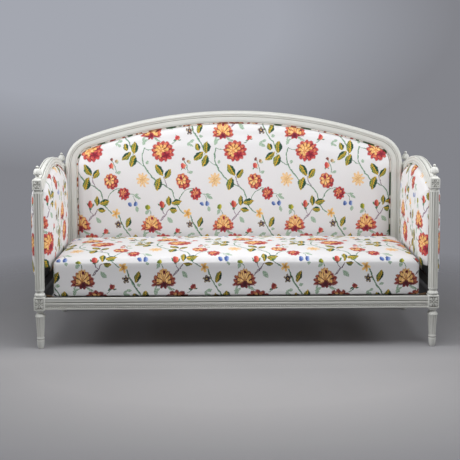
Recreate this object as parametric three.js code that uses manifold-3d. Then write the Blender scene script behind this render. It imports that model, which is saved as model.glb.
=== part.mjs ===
// A painted Gustavian sofa: four turned posts, moulded seat rails, two arched arms, an arched back
// frame with upholstered panels, and a loose box cushion on slats. Millimetres, Z up, X along the
// length, Y to the back; the origin is on the floor, under the middle of the sofa.
import * as THREE from "three";
import { mergeVertices } from "three/addons/utils/BufferGeometryUtils.js";
import Module from "manifold-3d";

// Layout of the frame
const postSpacingX = 2000;
const postSpacingY = 780;
const fitGap = 0.3;
const cutOverrun = 1;

// Turned leg, from the floor up
const footHeight = 45;
const footBottomDiameter = 27;
const footTopDiameter = 40;
const footSwell = 3;
const ankleGrooveHeight = 3;
const ankleGrooveDiameter = 34;
const ankleRingHeight = 9;
const ankleRingDiameter = 42;
const legShaftHeight = 105;
const legShaftLowDiameter = 32;
const legShaftTopDiameter = 48;
const legCollarHeight = 15;
const legCollarDiameter = 52;
const legNeckHeight = 10;
const legNeckDiameter = 36;
const legCapHeight = 8;
const legCapDiameter = 48;

// Square block that takes the seat rails
const lowerBlockWidth = 56;
const lowerBlockHeight = 72;
const upperBlockWidth = 50;
const upperBlockHeight = 52;
const blockEase = 2;
const rosetteBorder = 6;
const rosettePocketDepth = 2;
const rosetteRelief = 2.4;
const petalReachShare = 0.95;
const petalTopShare = 0.35;
const petalWaistShare = 0.45;

// Column between the blocks
const columnBaseHeight = 18;
const columnBaseDiameter = 55;
const columnNeckHeight = 11;
const columnNeckDiameter = 40;
const columnHeight = 504;
const columnDiameter = 48;
const fluteCount = 12;
const fluteDepth = 3;
const fluteEnd = 12;
const fluteMargin = 22;
const roofHeight = 12;
const roofTopWidth = 26;

// Turned finial on each post
const finialNeckHeight = 11;
const finialNeckDiameter = 22;
const finialBallHeight = 36;
const finialBallDiameter = 44;
const finialThroatHeight = 4;
const finialThroatDiameter = 10;
const finialKnobHeight = 11;
const finialKnobDiameter = 16;
const finialSpigotDiameter = 10;
const finialSpigotLength = 24;

// Seat rails
const railHeight = 63;
const railThickness = 34;
const railDrop = 2;
const railSetback = 4;
const rearRailSetback = 18;
const railEase = 3;
const tenonThickness = 14;
const tenonShoulder = 12;
const tenonSpare = 1;

// Arms
const armThickness = 50;
const armArchRise = 79;
const armArchMiddle = 40;
const armBottomRailGap = 35;
const armBottomRailHeight = 50;
const armBottomRailThickness = 34;
const armTenonLength = 12;
const armTenonHeight = 26;
const armInnerCrown = 50;
const armOuterCrown = 56;
const armPipingRecess = 8;

// Back frame
const crestApexLift = 313;
const shoulderLift = 7;
const shoulderRadius = 170;
const backFrameWidth = 65;
const backFrameThickness = 60;
const backFrameLead = 64;
const backBottomRailHeight = 58;
const backBottomRailSetback = 10;
const stileTenonWidth = 22;
const backTenonLength = 30;
const backTenonHeight = 34;
const backCrownProud = 36;
const backRebateDepth = 17;
const backRearProud = 10;
const backDowelDiameter = 12;
const backDowelLength = 40;
const backDowelReach = 18;
const backScrewDiameter = 7;
const backScrewHeadDiameter = 15;
const backScrewHeadHeight = 5;
const backScrewHeadSink = 8;
const backScrewBite = 35;
const backScrewSpacing = 700;

// Upholstery
const coreBoardThickness = 4;
const pipingDiameter = 7;
const pipingProud = 2;
const padRollWidth = 45;
const padEdgeShare = 0.42;

// Loose seat cushion
const cushionEndClearance = 3;
const cushionBackClearance = 5;
const cushionFrontSetback = 11;
const cushionSideHeight = 176;
const cushionCrown = 30;
const cushionEdgeRadius = 26;
const cushionCrownPower = 0.3;
const cushionCornerRadius = 34;
const cushionSideDraw = 7;
const cushionFootRound = 8;

// Slatted seat base
const slatCount = 10;
const slatWidth = 70;
const slatThickness = 18;
const cleatWidth = 26;
const cleatHeight = 24;
const braceLeg = 110;
const braceHeight = 38;
const slatEndMargin = 60;

// Facets
const turnedFacets = 12;
const archSteps = 14;
const crestSteps = 16;
const shoulderSteps = 5;
const cornerSteps = 3;
const pipingFacets = 6;
const cushionLongPieces = 10;
const cushionShortPieces = 5;

// Derived heights
const ankleZ = footHeight + ankleGrooveHeight;
const legShaftZ = ankleZ + ankleRingHeight;
const legCollarZ = legShaftZ + legShaftHeight;
const legNeckZ = legCollarZ + legCollarHeight;
const legCapZ = legNeckZ + legNeckHeight;
const lowerBlockZ = legCapZ + legCapHeight;
const lowerBlockTop = lowerBlockZ + lowerBlockHeight;
const columnNeckZ = lowerBlockTop + columnBaseHeight;
const columnZ = columnNeckZ + columnNeckHeight;
const columnTop = columnZ + columnHeight;
const upperBlockZ = columnTop + columnNeckHeight;
const upperBlockTop = upperBlockZ + upperBlockHeight;
const roofTop = upperBlockTop + roofHeight;
const railTop = lowerBlockTop - railDrop;
const railBottom = railTop - railHeight;
const crestApexZ = upperBlockTop + crestApexLift;
const shoulderZ = upperBlockTop + shoulderLift;

// Derived plan
const postX = postSpacingX / 2;
const postY = postSpacingY / 2;
const tenonLength = lowerBlockWidth / 2 - tenonThickness / 2 - tenonSpare;
const tenonHeight = railHeight - 2 * tenonShoulder;
const railInnerY = postY + lowerBlockWidth / 2 - railSetback - railThickness;
const railInnerX = postX + lowerBlockWidth / 2 - railSetback - railThickness;
const rearRailInnerY = postY + lowerBlockWidth / 2 - rearRailSetback - railThickness;
const armHalfOpening = postY - columnDiameter / 2;
const armBottomRailZ = railTop + armBottomRailGap;
const armOpeningZ = armBottomRailZ + armBottomRailHeight;
const backHalfWidth = postX - lowerBlockWidth / 2 - fitGap;
const backFrontY = postY - backFrameLead;
const backRearY = backFrontY + backFrameThickness;
const backCoreY = (backFrontY + backRearY) / 2;
const backBottomZ = railTop + fitGap;
const backOpeningZ = backBottomZ + backBottomRailHeight;
const padInset = pipingDiameter + 2 * fitGap;

// The crest's arc, which runs into the two shoulders without a bend
const shoulderX = backHalfWidth - shoulderRadius;
const crestRise = crestApexZ - shoulderZ;
const crestRiseOver = crestRise - shoulderRadius;
const crestRadius = (shoulderX ** 2 + crestRise ** 2 - shoulderRadius ** 2) / (2 * crestRiseOver);
const crestCentreZ = crestApexZ - crestRadius;
const crestAngle = Math.asin(shoulderX / (crestRadius - shoulderRadius));

// Moulding of the seat rail's outer face: depth into the rail and height, as shares
const railMouldingShares = [
  [0.0, 0.0], [0.0, 0.13], [0.08, 0.16], [0.03, 0.2], [0.0, 0.27], [0.03, 0.34], [0.08, 0.38],
  [0.05, 0.42], [0.05, 0.52], [0.2, 0.55], [0.2, 0.6], [0.06, 0.63], [0.12, 0.74], [0.06, 0.8],
  [0.0, 0.86], [0.0, 0.95], [0.07, 1.0],
];

// Moulding of the back frame: inwards from the outer edge, and forwards from the rear, as shares
const backMouldingShares = [
  [0.0, 0.0], [0.0, 0.7], [0.07, 0.74], [0.09, 0.86], [0.16, 0.97], [0.23, 1.0], [0.31, 0.95],
  [0.36, 0.86], [0.4, 0.84], [0.44, 0.9], [0.56, 0.94], [0.72, 0.89], [0.83, 0.79], [0.86, 0.76],
  [0.9, 0.83], [0.95, 0.83], [1.0, 0.72], [1.0, 0.0],
];

// Moulding of the arm's arch: across its thickness from the middle, and up through its height
const armMouldingShares = [
  [1.0, 0.0], [1.0, 0.18], [0.86, 0.24], [0.92, 0.34], [0.88, 0.6], [0.78, 0.72], [0.84, 0.84],
  [0.7, 0.95], [0.52, 0.9], [0.4, 0.99],
];

// Rolled edge of an upholstered panel: share of the roll's width, and share of the whole rise
const padRollShares = [[0.0, 0.0], [0.1, 0.2], [0.35, 0.4], [1.0, 0.62]];

// Crown inside the rolled edge: share of the outline that is left, and share of the whole rise
const padCrownShares = [[0.78, 0.82], [0.55, 0.93], [0.3, 0.985], [0.1, 1.0]];

// Rounded top edge of the seat cushion: drawn in, and down from the side's top, as shares of its radius
const cushionEdgeShares = [[0.14, 0.5], [0.5, 0.1]];

// Rows of the seat cushion's crown, from its edge to its middle
const cushionCrownShares = [0.94, 0.84, 0.7, 0.52, 0.32, 0.12];

const wasm = await Module();
wasm.setup();

const paintedWood = new THREE.MeshStandardMaterial({ color: 0xdcdcd6, roughness: 0.5 });
const plainWood = new THREE.MeshStandardMaterial({ color: 0xc9ab7c, roughness: 0.75 });
const fabric = new THREE.MeshStandardMaterial({ color: 0xefebe6, roughness: 0.95 });
const board = new THREE.MeshStandardMaterial({ color: 0xa98f6a, roughness: 0.9 });
const steel = new THREE.MeshStandardMaterial({ color: 0x9a9a96, roughness: 0.4, metalness: 0.9 });

// Closed solids and their meshes

function solidOf(geometry) {
  const bare = geometry.clone();
  bare.deleteAttribute("normal");
  bare.deleteAttribute("uv");
  const merged = mergeVertices(bare);
  const mesh = new wasm.Mesh({
    numProp: 3,
    vertProperties: merged.attributes.position.array,
    triVerts: new Uint32Array(merged.index.array),
  });
  return new wasm.Manifold(mesh);
}

function geometryOf(solid) {
  const mesh = solid.getMesh();
  const geometry = new THREE.BufferGeometry();
  geometry.setAttribute("position", new THREE.BufferAttribute(mesh.vertProperties, mesh.numProp));
  geometry.setIndex(new THREE.BufferAttribute(mesh.triVerts, 1));
  geometry.computeVertexNormals();
  return geometry;
}

function joined(solids) {
  return solids.reduce((whole, next) => whole.add(next));
}

function cutBy(solid, cutters) {
  return cutters.reduce((whole, next) => whole.subtract(next), solid);
}

function moved(geometry, x, y, z) {
  return geometry.clone().translate(x, y, z);
}

function boxBetween(low, high) {
  const size = high.map((value, axis) => value - low[axis]);
  const middle = high.map((value, axis) => (value + low[axis]) / 2);
  return new THREE.BoxGeometry(...size).translate(...middle);
}

// The triangles that fill a flat ring of points, turned the way the ring runs
function capFaces(ring) {
  const normal = new THREE.Vector3();
  ring.forEach((point, index) => {
    const next = ring[(index + 1) % ring.length];
    normal.add(new THREE.Vector3().crossVectors(point, next));
  });
  normal.normalize();
  const level = Math.abs(normal.z) < 0.5 ? new THREE.Vector3(0, 0, 1) : new THREE.Vector3(1, 0, 0);
  const across = new THREE.Vector3().crossVectors(level, normal).normalize();
  const along = new THREE.Vector3().crossVectors(normal, across);
  const flat = ring.map((point) => new THREE.Vector2(point.dot(across), point.dot(along)));
  const area = THREE.ShapeUtils.area(flat);
  return THREE.ShapeUtils.triangulateShape(flat, []).map(([a, b, c]) => {
    const turn = THREE.ShapeUtils.area([flat[a], flat[b], flat[c]]);
    return turn * area < 0 ? [a, c, b] : [a, b, c];
  });
}

// A closed skin over rings of equally many points. A looped stack joins its last ring to its first,
// and a fanned one closes each end round the end ring's middle, as rings with straight sides need.
function loft(rings, { looped = false, fanned = false } = {}) {
  const count = rings[0].length;
  const faces = [];
  const points = rings.flat();
  const bands = looped ? rings.length : rings.length - 1;
  for (let row = 0; row < bands; row += 1) {
    const low = row * count;
    const high = ((row + 1) % rings.length) * count;
    for (let column = 0; column < count; column += 1) {
      const next = (column + 1) % count;
      faces.push([low + column, low + next, high + next]);
      faces.push([low + column, high + next, high + column]);
    }
  }
  const last = (rings.length - 1) * count;
  if (fanned) {
    [rings[0], rings.at(-1)].forEach((ring) => {
      points.push(new THREE.Box3().setFromPoints(ring).getCenter(new THREE.Vector3()));
    });
    for (let column = 0; column < count; column += 1) {
      const next = (column + 1) % count;
      faces.push([column, points.length - 2, next]);
      faces.push([last + column, last + next, points.length - 1]);
    }
  } else if (!looped) {
    capFaces(rings[0]).forEach(([a, b, c]) => faces.push([a, c, b]));
    capFaces(rings.at(-1)).forEach((face) => faces.push(face.map((index) => last + index)));
  }
  const volume = faces.reduce((sum, [a, b, c]) => {
    return sum + points[a].dot(new THREE.Vector3().crossVectors(points[b], points[c]));
  }, 0);
  const turned = volume < 0 ? faces.map(([a, b, c]) => [a, c, b]) : faces;
  const geometry = new THREE.BufferGeometry().setFromPoints(points);
  geometry.setIndex(turned.flat());
  return geometry;
}

// Turned work: a profile of radius and height, spun about the Z axis

function turned(profile) {
  const points = profile.map(([radius, height]) => new THREE.Vector2(radius, height));
  return new THREE.LatheGeometry(points, turnedFacets).rotateX(Math.PI / 2);
}

// A curve of a profile that swells outwards between two radii
function swelling(startRadius, startZ, endRadius, endZ, swell, steps) {
  return Array.from({ length: steps + 1 }, (unused, step) => {
    const share = step / steps;
    const radius = THREE.MathUtils.lerp(startRadius, endRadius, share);
    return [radius + swell * Math.sin(Math.PI * share), THREE.MathUtils.lerp(startZ, endZ, share)];
  });
}

function ringOfFlutes(diameter, depth, height) {
  const ridgeShare = 0.3;
  const shares = [0, ridgeShare, (1 + ridgeShare) / 2];
  const points = [];
  for (let flute = 0; flute < fluteCount; flute += 1) {
    shares.forEach((share, index) => {
      const angle = ((flute + share) / fluteCount) * 2 * Math.PI;
      const radius = diameter / 2 - (index === 2 ? depth : 0);
      points.push(new THREE.Vector3(radius * Math.cos(angle), radius * Math.sin(angle), height));
    });
  }
  return points;
}

// A shaft whose flutes stop short of both ends
function flutedShaft(lowDiameter, topDiameter, lowZ, topZ, margin) {
  const diameterAt = (z) => {
    return THREE.MathUtils.mapLinear(z, lowZ, topZ, lowDiameter, topDiameter);
  };
  const plainRow = (z) => (margin > 0 ? [[z, 0]] : []);
  const rows = [
    [lowZ - cutOverrun, 0],
    ...plainRow(lowZ + margin),
    [lowZ + margin + fluteEnd, fluteDepth],
    [topZ - margin - fluteEnd, fluteDepth],
    ...plainRow(topZ - margin),
    [topZ + cutOverrun, 0],
  ];
  return loft(rows.map(([z, depth]) => ringOfFlutes(diameterAt(z), depth, z)));
}

function legGeometry() {
  const footTop = footTopDiameter / 2;
  const groove = ankleGrooveDiameter / 2;
  const ring = ankleRingDiameter / 2;
  return turned([
    [0, 0],
    ...swelling(footBottomDiameter / 2, 0, footTop, footHeight, footSwell, 3),
    [groove, footHeight],
    [groove, ankleZ],
    ...swelling(groove, ankleZ, groove, legShaftZ, ring - groove, 3),
    [0, legShaftZ],
  ]);
}

function legHeadGeometry() {
  const collar = legCollarDiameter / 2;
  const neck = legNeckDiameter / 2;
  const shaft = legShaftTopDiameter / 2;
  const shoulder = collar - shaft;
  return turned([
    [0, legCollarZ],
    [shaft, legCollarZ],
    [collar, legCollarZ + shoulder],
    [collar, legCollarZ + legCollarHeight / 3],
    ...swelling(collar, legCollarZ + legCollarHeight / 2, neck, legNeckZ, shoulder, 2),
    [neck, legCapZ],
    ...swelling(neck, legCapZ, legCapDiameter / 2, lowerBlockZ + cutOverrun, shoulder, 2),
    [0, lowerBlockZ + cutOverrun],
  ]);
}

function columnFootGeometry() {
  const base = columnBaseDiameter / 2;
  const neck = columnNeckDiameter / 2;
  return turned([
    [0, lowerBlockTop - cutOverrun],
    [neck, lowerBlockTop - cutOverrun],
    ...swelling(neck, lowerBlockTop, neck, columnNeckZ, base - neck, 4),
    [neck, columnZ + cutOverrun],
    [0, columnZ + cutOverrun],
  ]);
}

function columnHeadGeometry() {
  const neck = columnNeckDiameter / 2;
  const flare = columnDiameter / 2;
  return turned([
    [0, columnTop - cutOverrun],
    [neck, columnTop - cutOverrun],
    [neck, columnTop + columnNeckHeight / 3],
    ...swelling(neck, columnTop + columnNeckHeight / 3, flare, upperBlockZ, fitGap, 2),
    [flare, upperBlockZ + cutOverrun],
    [0, upperBlockZ + cutOverrun],
  ]);
}

// Square blocks with eased edges

function squareRing(width, ease, height) {
  const half = width / 2;
  const inner = half - ease;
  const corners = [
    [half, -inner], [half, inner], [inner, half], [-inner, half],
    [-half, inner], [-half, -inner], [-inner, -half], [inner, -half],
  ];
  return corners.map(([x, y]) => new THREE.Vector3(x, y, height));
}

function blockGeometry(width, lowZ, topZ) {
  return loft([
    squareRing(width - 2 * blockEase, blockEase, lowZ),
    squareRing(width, blockEase, lowZ + blockEase),
    squareRing(width, blockEase, topZ - blockEase),
    squareRing(width - 2 * blockEase, blockEase, topZ),
  ]);
}

function roofGeometry() {
  const eaves = upperBlockWidth - 2 * blockEase;
  const waist = (eaves + roofTopWidth) / 2 - blockEase;
  return loft([
    squareRing(eaves, blockEase, upperBlockTop - cutOverrun),
    squareRing(eaves, blockEase, upperBlockTop),
    squareRing(waist, blockEase, upperBlockTop + roofHeight / 2),
    squareRing(roofTopWidth, blockEase, roofTop),
  ]);
}

// A sunk square panel with a four-petalled flower, on the block's face that looks along +X
function rosette(blockWidth, blockHeight, blockZ) {
  const face = blockWidth / 2;
  const floor = face - rosettePocketDepth;
  const halfAcross = face - rosetteBorder;
  const middle = blockZ + blockHeight / 2;
  const halfUp = Math.min(halfAcross, blockHeight / 2 - rosetteBorder);
  const pocket = boxBetween(
    [floor, -halfAcross, middle - halfUp],
    [face + cutOverrun, halfAcross, middle + halfUp],
  );
  const petalRing = (share, out) => {
    return Array.from({ length: 8 }, (unused, index) => {
      const radius = halfUp * share * (index % 2 ? petalWaistShare : 1);
      const angle = (index * Math.PI) / 4 + Math.PI / 4;
      return new THREE.Vector3(out, radius * Math.cos(angle), middle + radius * Math.sin(angle));
    });
  };
  const flower = loft([
    petalRing(petalReachShare, floor - cutOverrun),
    petalRing(petalReachShare, floor + rosetteRelief / 3),
    petalRing(petalTopShare, floor + rosetteRelief),
  ]);
  return { pocket, flower };
}

function addRosette(solid, blockWidth, blockHeight, blockZ, angle) {
  const { pocket, flower } = rosette(blockWidth, blockHeight, blockZ);
  const cut = solid.subtract(solidOf(pocket.rotateZ(angle)));
  return cut.add(solidOf(flower.rotateZ(angle)));
}

// Posts: one length of wood from the floor to the roof of the upper block. A post is made for the
// corner that lies towards +X and -Y of the middle, and turned or mirrored in plan by its signs.

function mortiseAlong(axis, sign, faceDistance, depth, halfWidth, lowZ, topZ) {
  const near = sign * (faceDistance - depth - fitGap);
  const far = sign * (faceDistance + cutOverrun);
  const low = [-halfWidth - fitGap, -halfWidth - fitGap, lowZ - fitGap];
  const high = [halfWidth + fitGap, halfWidth + fitGap, topZ + fitGap];
  low[axis] = Math.min(near, far);
  high[axis] = Math.max(near, far);
  return solidOf(boxBetween(low, high));
}

function dowelGeometry(diameter, length) {
  return new THREE.CylinderGeometry(diameter / 2, diameter / 2, length, turnedFacets);
}

function postMortises(signX, signY) {
  const lowerFace = lowerBlockWidth / 2;
  const upperFace = upperBlockWidth / 2;
  const half = tenonThickness / 2;
  const railLow = railBottom + tenonShoulder;
  const armLow = upperBlockZ + (upperBlockHeight - armTenonHeight) / 2;
  const armRailLow = armBottomRailZ + (armBottomRailHeight - armTenonHeight) / 2;
  const columnFace = columnDiameter / 2;
  return [
    mortiseAlong(0, -signX, lowerFace, tenonLength, half, railLow, railLow + tenonHeight),
    mortiseAlong(1, -signY, lowerFace, tenonLength, half, railLow, railLow + tenonHeight),
    mortiseAlong(1, -signY, upperFace, armTenonLength, half, armLow, armLow + armTenonHeight),
    mortiseAlong(
      1, -signY, columnFace, armTenonLength, half, armRailLow, armRailLow + armTenonHeight,
    ),
  ];
}

function backDowelPlace(side) {
  return {
    x: side * (backHalfWidth + fitGap + lowerBlockWidth / 2 - upperBlockWidth / 2),
    y: (postY - upperBlockWidth / 2 + backRearY) / 2,
    z: upperBlockZ + upperBlockHeight / 2,
  };
}

function postSolid(signX, signY) {
  let post = joined([
    solidOf(legGeometry()),
    solidOf(flutedShaft(legShaftLowDiameter, legShaftTopDiameter, legShaftZ, legCollarZ, 0)),
    solidOf(legHeadGeometry()),
    solidOf(blockGeometry(lowerBlockWidth, lowerBlockZ, lowerBlockTop)),
    solidOf(columnFootGeometry()),
    solidOf(flutedShaft(columnDiameter, columnDiameter, columnZ, columnTop, fluteMargin)),
    solidOf(columnHeadGeometry()),
    solidOf(blockGeometry(upperBlockWidth, upperBlockZ, upperBlockTop)),
    solidOf(roofGeometry()),
  ]);
  const outwards = signX > 0 ? 0 : Math.PI;
  const endwards = (signY * Math.PI) / 2;
  [outwards, endwards].forEach((angle) => {
    post = addRosette(post, lowerBlockWidth, lowerBlockHeight, lowerBlockZ, angle);
    post = addRosette(post, upperBlockWidth, upperBlockHeight, upperBlockZ, angle);
  });
  const socket = dowelGeometry(finialSpigotDiameter + 2 * fitGap, finialSpigotLength + cutOverrun);
  socket.rotateX(Math.PI / 2);
  socket.translate(0, 0, roofTop + (cutOverrun - finialSpigotLength) / 2);
  post = cutBy(post, [...postMortises(signX, signY), solidOf(socket)]);
  if (signY > 0) {
    const place = backDowelPlace(signX);
    const hole = dowelGeometry(backDowelDiameter + 2 * fitGap, 2 * (backDowelReach + fitGap));
    hole.rotateZ(Math.PI / 2);
    hole.translate(place.x - signX * postX, place.y - postY, place.z);
    post = post.subtract(solidOf(hole));
  }
  return post;
}

// Finials: neck, ball and tip knob, with a spigot that stands in the post

function finialGeometry() {
  const neck = finialNeckDiameter / 2;
  const ball = finialBallDiameter / 2;
  const throat = finialThroatDiameter / 2;
  const knob = finialKnobDiameter / 2;
  const spigot = finialSpigotDiameter / 2;
  const ballZ = finialNeckHeight;
  const throatZ = ballZ + finialBallHeight;
  const knobZ = throatZ + finialThroatHeight;
  const tipZ = knobZ + finialKnobHeight;
  return turned([
    [0, 2 * fitGap - finialSpigotLength],
    [spigot, 2 * fitGap - finialSpigotLength],
    [spigot, fitGap],
    [neck, fitGap],
    [neck, finialNeckHeight / 4],
    [(neck + spigot) / 2, finialNeckHeight / 2],
    ...swelling(neck, ballZ, throat, throatZ, ball - (neck + throat) / 2, 6),
    [throat, knobZ],
    ...swelling(throat, knobZ, 0, tipZ, knob - throat / 2, 4).slice(1),
  ]);
}

// Seat rails: moulded boards with a tenon at each end, made along X with the outer face to -Y

function railMoulding(thickness) {
  const outline = railMouldingShares.map(([depthShare, upShare]) => {
    return new THREE.Vector2(-depthShare * railThickness, upShare * railHeight);
  });
  outline.push(new THREE.Vector2(-thickness, railHeight), new THREE.Vector2(-thickness, 0));
  return new THREE.Shape(outline);
}

function plainMoulding(thickness) {
  const outline = [
    [0, 0], [0, railHeight - railEase], [railEase, railHeight],
    [thickness, railHeight], [thickness, 0],
  ];
  return new THREE.Shape(outline.map(([x, y]) => new THREE.Vector2(-x, y)));
}

function railSolid(shape, length, axisDepth) {
  const beam = new THREE.ExtrudeGeometry(shape, { depth: length, bevelEnabled: false });
  const across = new THREE.Vector3(0, -1, 0);
  const up = new THREE.Vector3(0, 0, 1);
  const along = new THREE.Vector3(-1, 0, 0);
  beam.applyMatrix4(new THREE.Matrix4().makeBasis(across, up, along));
  beam.translate(length / 2, 0, 0);
  const reach = length / 2 + tenonLength;
  const half = tenonThickness / 2;
  const tenon = boxBetween(
    [-reach, axisDepth - half, tenonShoulder],
    [reach, axisDepth + half, tenonShoulder + tenonHeight],
  );
  return solidOf(beam).add(solidOf(tenon));
}

function seatRails() {
  const longLength = postSpacingX - lowerBlockWidth - 2 * fitGap;
  const shortLength = postSpacingY - lowerBlockWidth - 2 * fitGap;
  const frontDepth = lowerBlockWidth / 2 - railSetback;
  const rearDepth = lowerBlockWidth / 2 - rearRailSetback;
  const front = railSolid(railMoulding(railThickness), longLength, frontDepth);
  const side = railSolid(railMoulding(railThickness), shortLength, frontDepth);
  const rear = cutBy(railSolid(plainMoulding(railThickness), longLength, rearDepth), screwHoles());
  return [
    ["front_rail", front, 0, -postY - frontDepth, 0],
    ["rear_rail", rear, 0, postY + rearDepth, Math.PI],
    ["side_rail_left", side, -postX - frontDepth, 0, -Math.PI / 2],
    ["side_rail_right", side, postX + frontDepth, 0, Math.PI / 2],
  ].map(([name, solid, x, y, angle]) => {
    const mesh = new THREE.Mesh(geometryOf(solid), paintedWood);
    mesh.name = name;
    mesh.position.set(x, y, railBottom);
    mesh.rotation.z = angle;
    return mesh;
  });
}

// Screws that pull the back frame down onto the rear rail

function backScrewY() {
  return (rearRailInnerY + backRearY) / 2;
}

function backScrewPlaces() {
  return [-1, 0, 1].map((place) => place * backScrewSpacing);
}

// A screw seen from its head upwards, or with a clearance the hole that takes it
function backScrewProfile(headLow, clearance) {
  const head = backScrewHeadDiameter / 2 + clearance;
  const shank = backScrewDiameter / 2 + clearance;
  const headTop = backScrewHeadSink + backScrewHeadHeight + clearance;
  const tip = railHeight + backScrewBite + clearance;
  return turned([
    [0, headLow], [head, headLow], [head, headTop], [shank, headTop], [shank, tip], [0, tip],
  ]);
}

// Counterbored holes for the screws, in the frame of the rear rail, which is turned half round
function screwHoles() {
  const outerFaceY = postY + lowerBlockWidth / 2 - rearRailSetback;
  return backScrewPlaces().map((x) => {
    return solidOf(moved(backScrewProfile(-cutOverrun, fitGap), x, outerFaceY - backScrewY(), 0));
  });
}

// Arms: an arched top rail and a plain bottom rail between the posts

// A point of the arch: turn from -1 to 1 along it, rise from 0 at its lower edge to 1 at its top
function archPoint(turn, rise, out) {
  const halfSpan = postY - upperBlockWidth / 2 - fitGap;
  const topRise = armArchRise;
  const lowRise = upperBlockHeight + armArchRise - armArchMiddle;
  const place = (startZ, archRise) => {
    const radius = (halfSpan ** 2 + archRise ** 2) / (2 * archRise);
    const angle = turn * Math.asin(halfSpan / radius);
    return [radius * Math.sin(angle), startZ + archRise - radius + radius * Math.cos(angle)];
  };
  const [lowY, lowZ] = place(upperBlockZ, lowRise);
  const [topY, topZ] = place(upperBlockTop, topRise);
  const y = THREE.MathUtils.lerp(lowY, topY, rise);
  const z = THREE.MathUtils.lerp(lowZ, topZ, rise);
  return new THREE.Vector3((out * armThickness) / 2, y, z);
}

function armArchSolid() {
  const section = [
    ...armMouldingShares,
    ...armMouldingShares.map(([out, rise]) => [-out, rise]).reverse(),
  ];
  const stations = Array.from({ length: archSteps + 1 }, (unused, step) => {
    const turn = (2 * step) / archSteps - 1;
    return section.map(([out, rise]) => archPoint(turn, rise, out));
  });
  const arch = loft(stations);
  const reach = postY - upperBlockWidth / 2 + armTenonLength;
  const low = upperBlockZ + (upperBlockHeight - armTenonHeight) / 2;
  const half = tenonThickness / 2;
  const tenonAt = (sign) => {
    const inner = sign * (postY - upperBlockWidth / 2 - armTenonLength);
    return boxBetween(
      [-half, Math.min(inner, sign * reach), low],
      [half, Math.max(inner, sign * reach), low + armTenonHeight],
    );
  };
  return joined([solidOf(arch), solidOf(tenonAt(-1)), solidOf(tenonAt(1))]);
}

function armBottomRailSolid() {
  const half = armBottomRailThickness / 2;
  const length = armHalfOpening - fitGap;
  const ease = railEase;
  const outline = [
    [-half, 0], [half, 0], [half, armBottomRailHeight - ease],
    [half - ease, armBottomRailHeight], [ease - half, armBottomRailHeight],
    [-half, armBottomRailHeight - ease],
  ];
  const beam = loft([-length, length].map((y) => {
    return outline.map(([x, z]) => new THREE.Vector3(x, y, armBottomRailZ + z));
  }));
  const reach = armHalfOpening + armTenonLength;
  const low = armBottomRailZ + (armBottomRailHeight - armTenonHeight) / 2;
  const tenon = boxBetween(
    [-tenonThickness / 2, -reach, low],
    [tenonThickness / 2, reach, low + armTenonHeight],
  );
  return solidOf(beam).add(solidOf(tenon));
}

// The arm's opening, drawn in by an inset: up the rear side, over the arch, down the front
function armOpening(inset, x) {
  const halfSpan = postY - upperBlockWidth / 2 - fitGap;
  const rise = upperBlockHeight + armArchRise - armArchMiddle;
  const fullRadius = (halfSpan ** 2 + rise ** 2) / (2 * rise);
  const radius = fullRadius - inset;
  const side = armHalfOpening - inset;
  const centreZ = upperBlockZ + rise - fullRadius;
  const edge = Math.asin(Math.min(side / radius, 1));
  const points = [
    new THREE.Vector3(x, -side, armOpeningZ + inset),
    new THREE.Vector3(x, side, armOpeningZ + inset),
  ];
  for (let step = 0; step <= archSteps; step += 1) {
    const angle = edge * (1 - (2 * step) / archSteps);
    points.push(new THREE.Vector3(x, radius * Math.sin(angle), centreZ + radius * Math.cos(angle)));
  }
  return points;
}

// Back frame: a crest rail with round shoulders on two stiles and a bottom rail

// Points of the back's outline, drawn in by an inset, from the right shoulder over to the left
function crestLine(inset) {
  const points = [];
  const quarter = Math.PI / 2;
  for (let step = 0; step < shoulderSteps; step += 1) {
    const angle = quarter - (step / shoulderSteps) * (quarter - crestAngle);
    const radius = shoulderRadius - inset;
    points.push([shoulderX + radius * Math.sin(angle), shoulderZ + radius * Math.cos(angle)]);
  }
  for (let step = 0; step <= crestSteps; step += 1) {
    const angle = crestAngle * (1 - (2 * step) / crestSteps);
    const radius = crestRadius - inset;
    points.push([radius * Math.sin(angle), crestCentreZ + radius * Math.cos(angle)]);
  }
  for (let step = shoulderSteps - 1; step >= 0; step -= 1) {
    const [x, z] = points[step];
    points.push([-x, z]);
  }
  return points;
}

function crestRailSolid() {
  const lines = backMouldingShares.map(([inShare, frontShare]) => {
    const y = backRearY - frontShare * backFrameThickness;
    return crestLine(inShare * backFrameWidth).map(([x, z]) => new THREE.Vector3(x, y, z));
  });
  const stations = lines[0].map((unused, index) => lines.map((line) => line[index]));
  const crest = solidOf(loft(stations));
  return cutBy(crest, [-1, 1].map((side) => solidOf(stileTenon(side, fitGap))));
}

// The tenon on a stile's upper end, or its mortise in the crest rail
function stileTenon(side, clearance) {
  const middle = side * (backHalfWidth - backFrameWidth / 2);
  const half = stileTenonWidth / 2 + clearance;
  const deep = tenonThickness / 2 + clearance;
  return boxBetween(
    [middle - half, backCoreY - deep, shoulderZ - backTenonLength],
    [middle + half, backCoreY + deep, shoulderZ + backTenonLength / 2 + clearance],
  );
}

function stileSolid(side) {
  const outline = backMouldingShares.map(([inShare, frontShare]) => {
    const x = side * (backHalfWidth - inShare * backFrameWidth);
    return [x, backRearY - frontShare * backFrameThickness];
  });
  const rows = [backBottomZ, shoulderZ - fitGap];
  const stile = loft(rows.map((z) => outline.map(([x, y]) => new THREE.Vector3(x, y, z))));
  const place = backDowelPlace(side);
  const hole = dowelGeometry(backDowelDiameter + 2 * fitGap, 2 * (backDowelLength - backDowelReach));
  hole.rotateZ(Math.PI / 2);
  hole.translate(side * (backHalfWidth + cutOverrun), place.y, place.z);
  return cutBy(solidOf(stile).add(solidOf(stileTenon(side, 0))), [
    solidOf(hole),
    solidOf(backRailTenon(side, fitGap)),
  ]);
}

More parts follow.
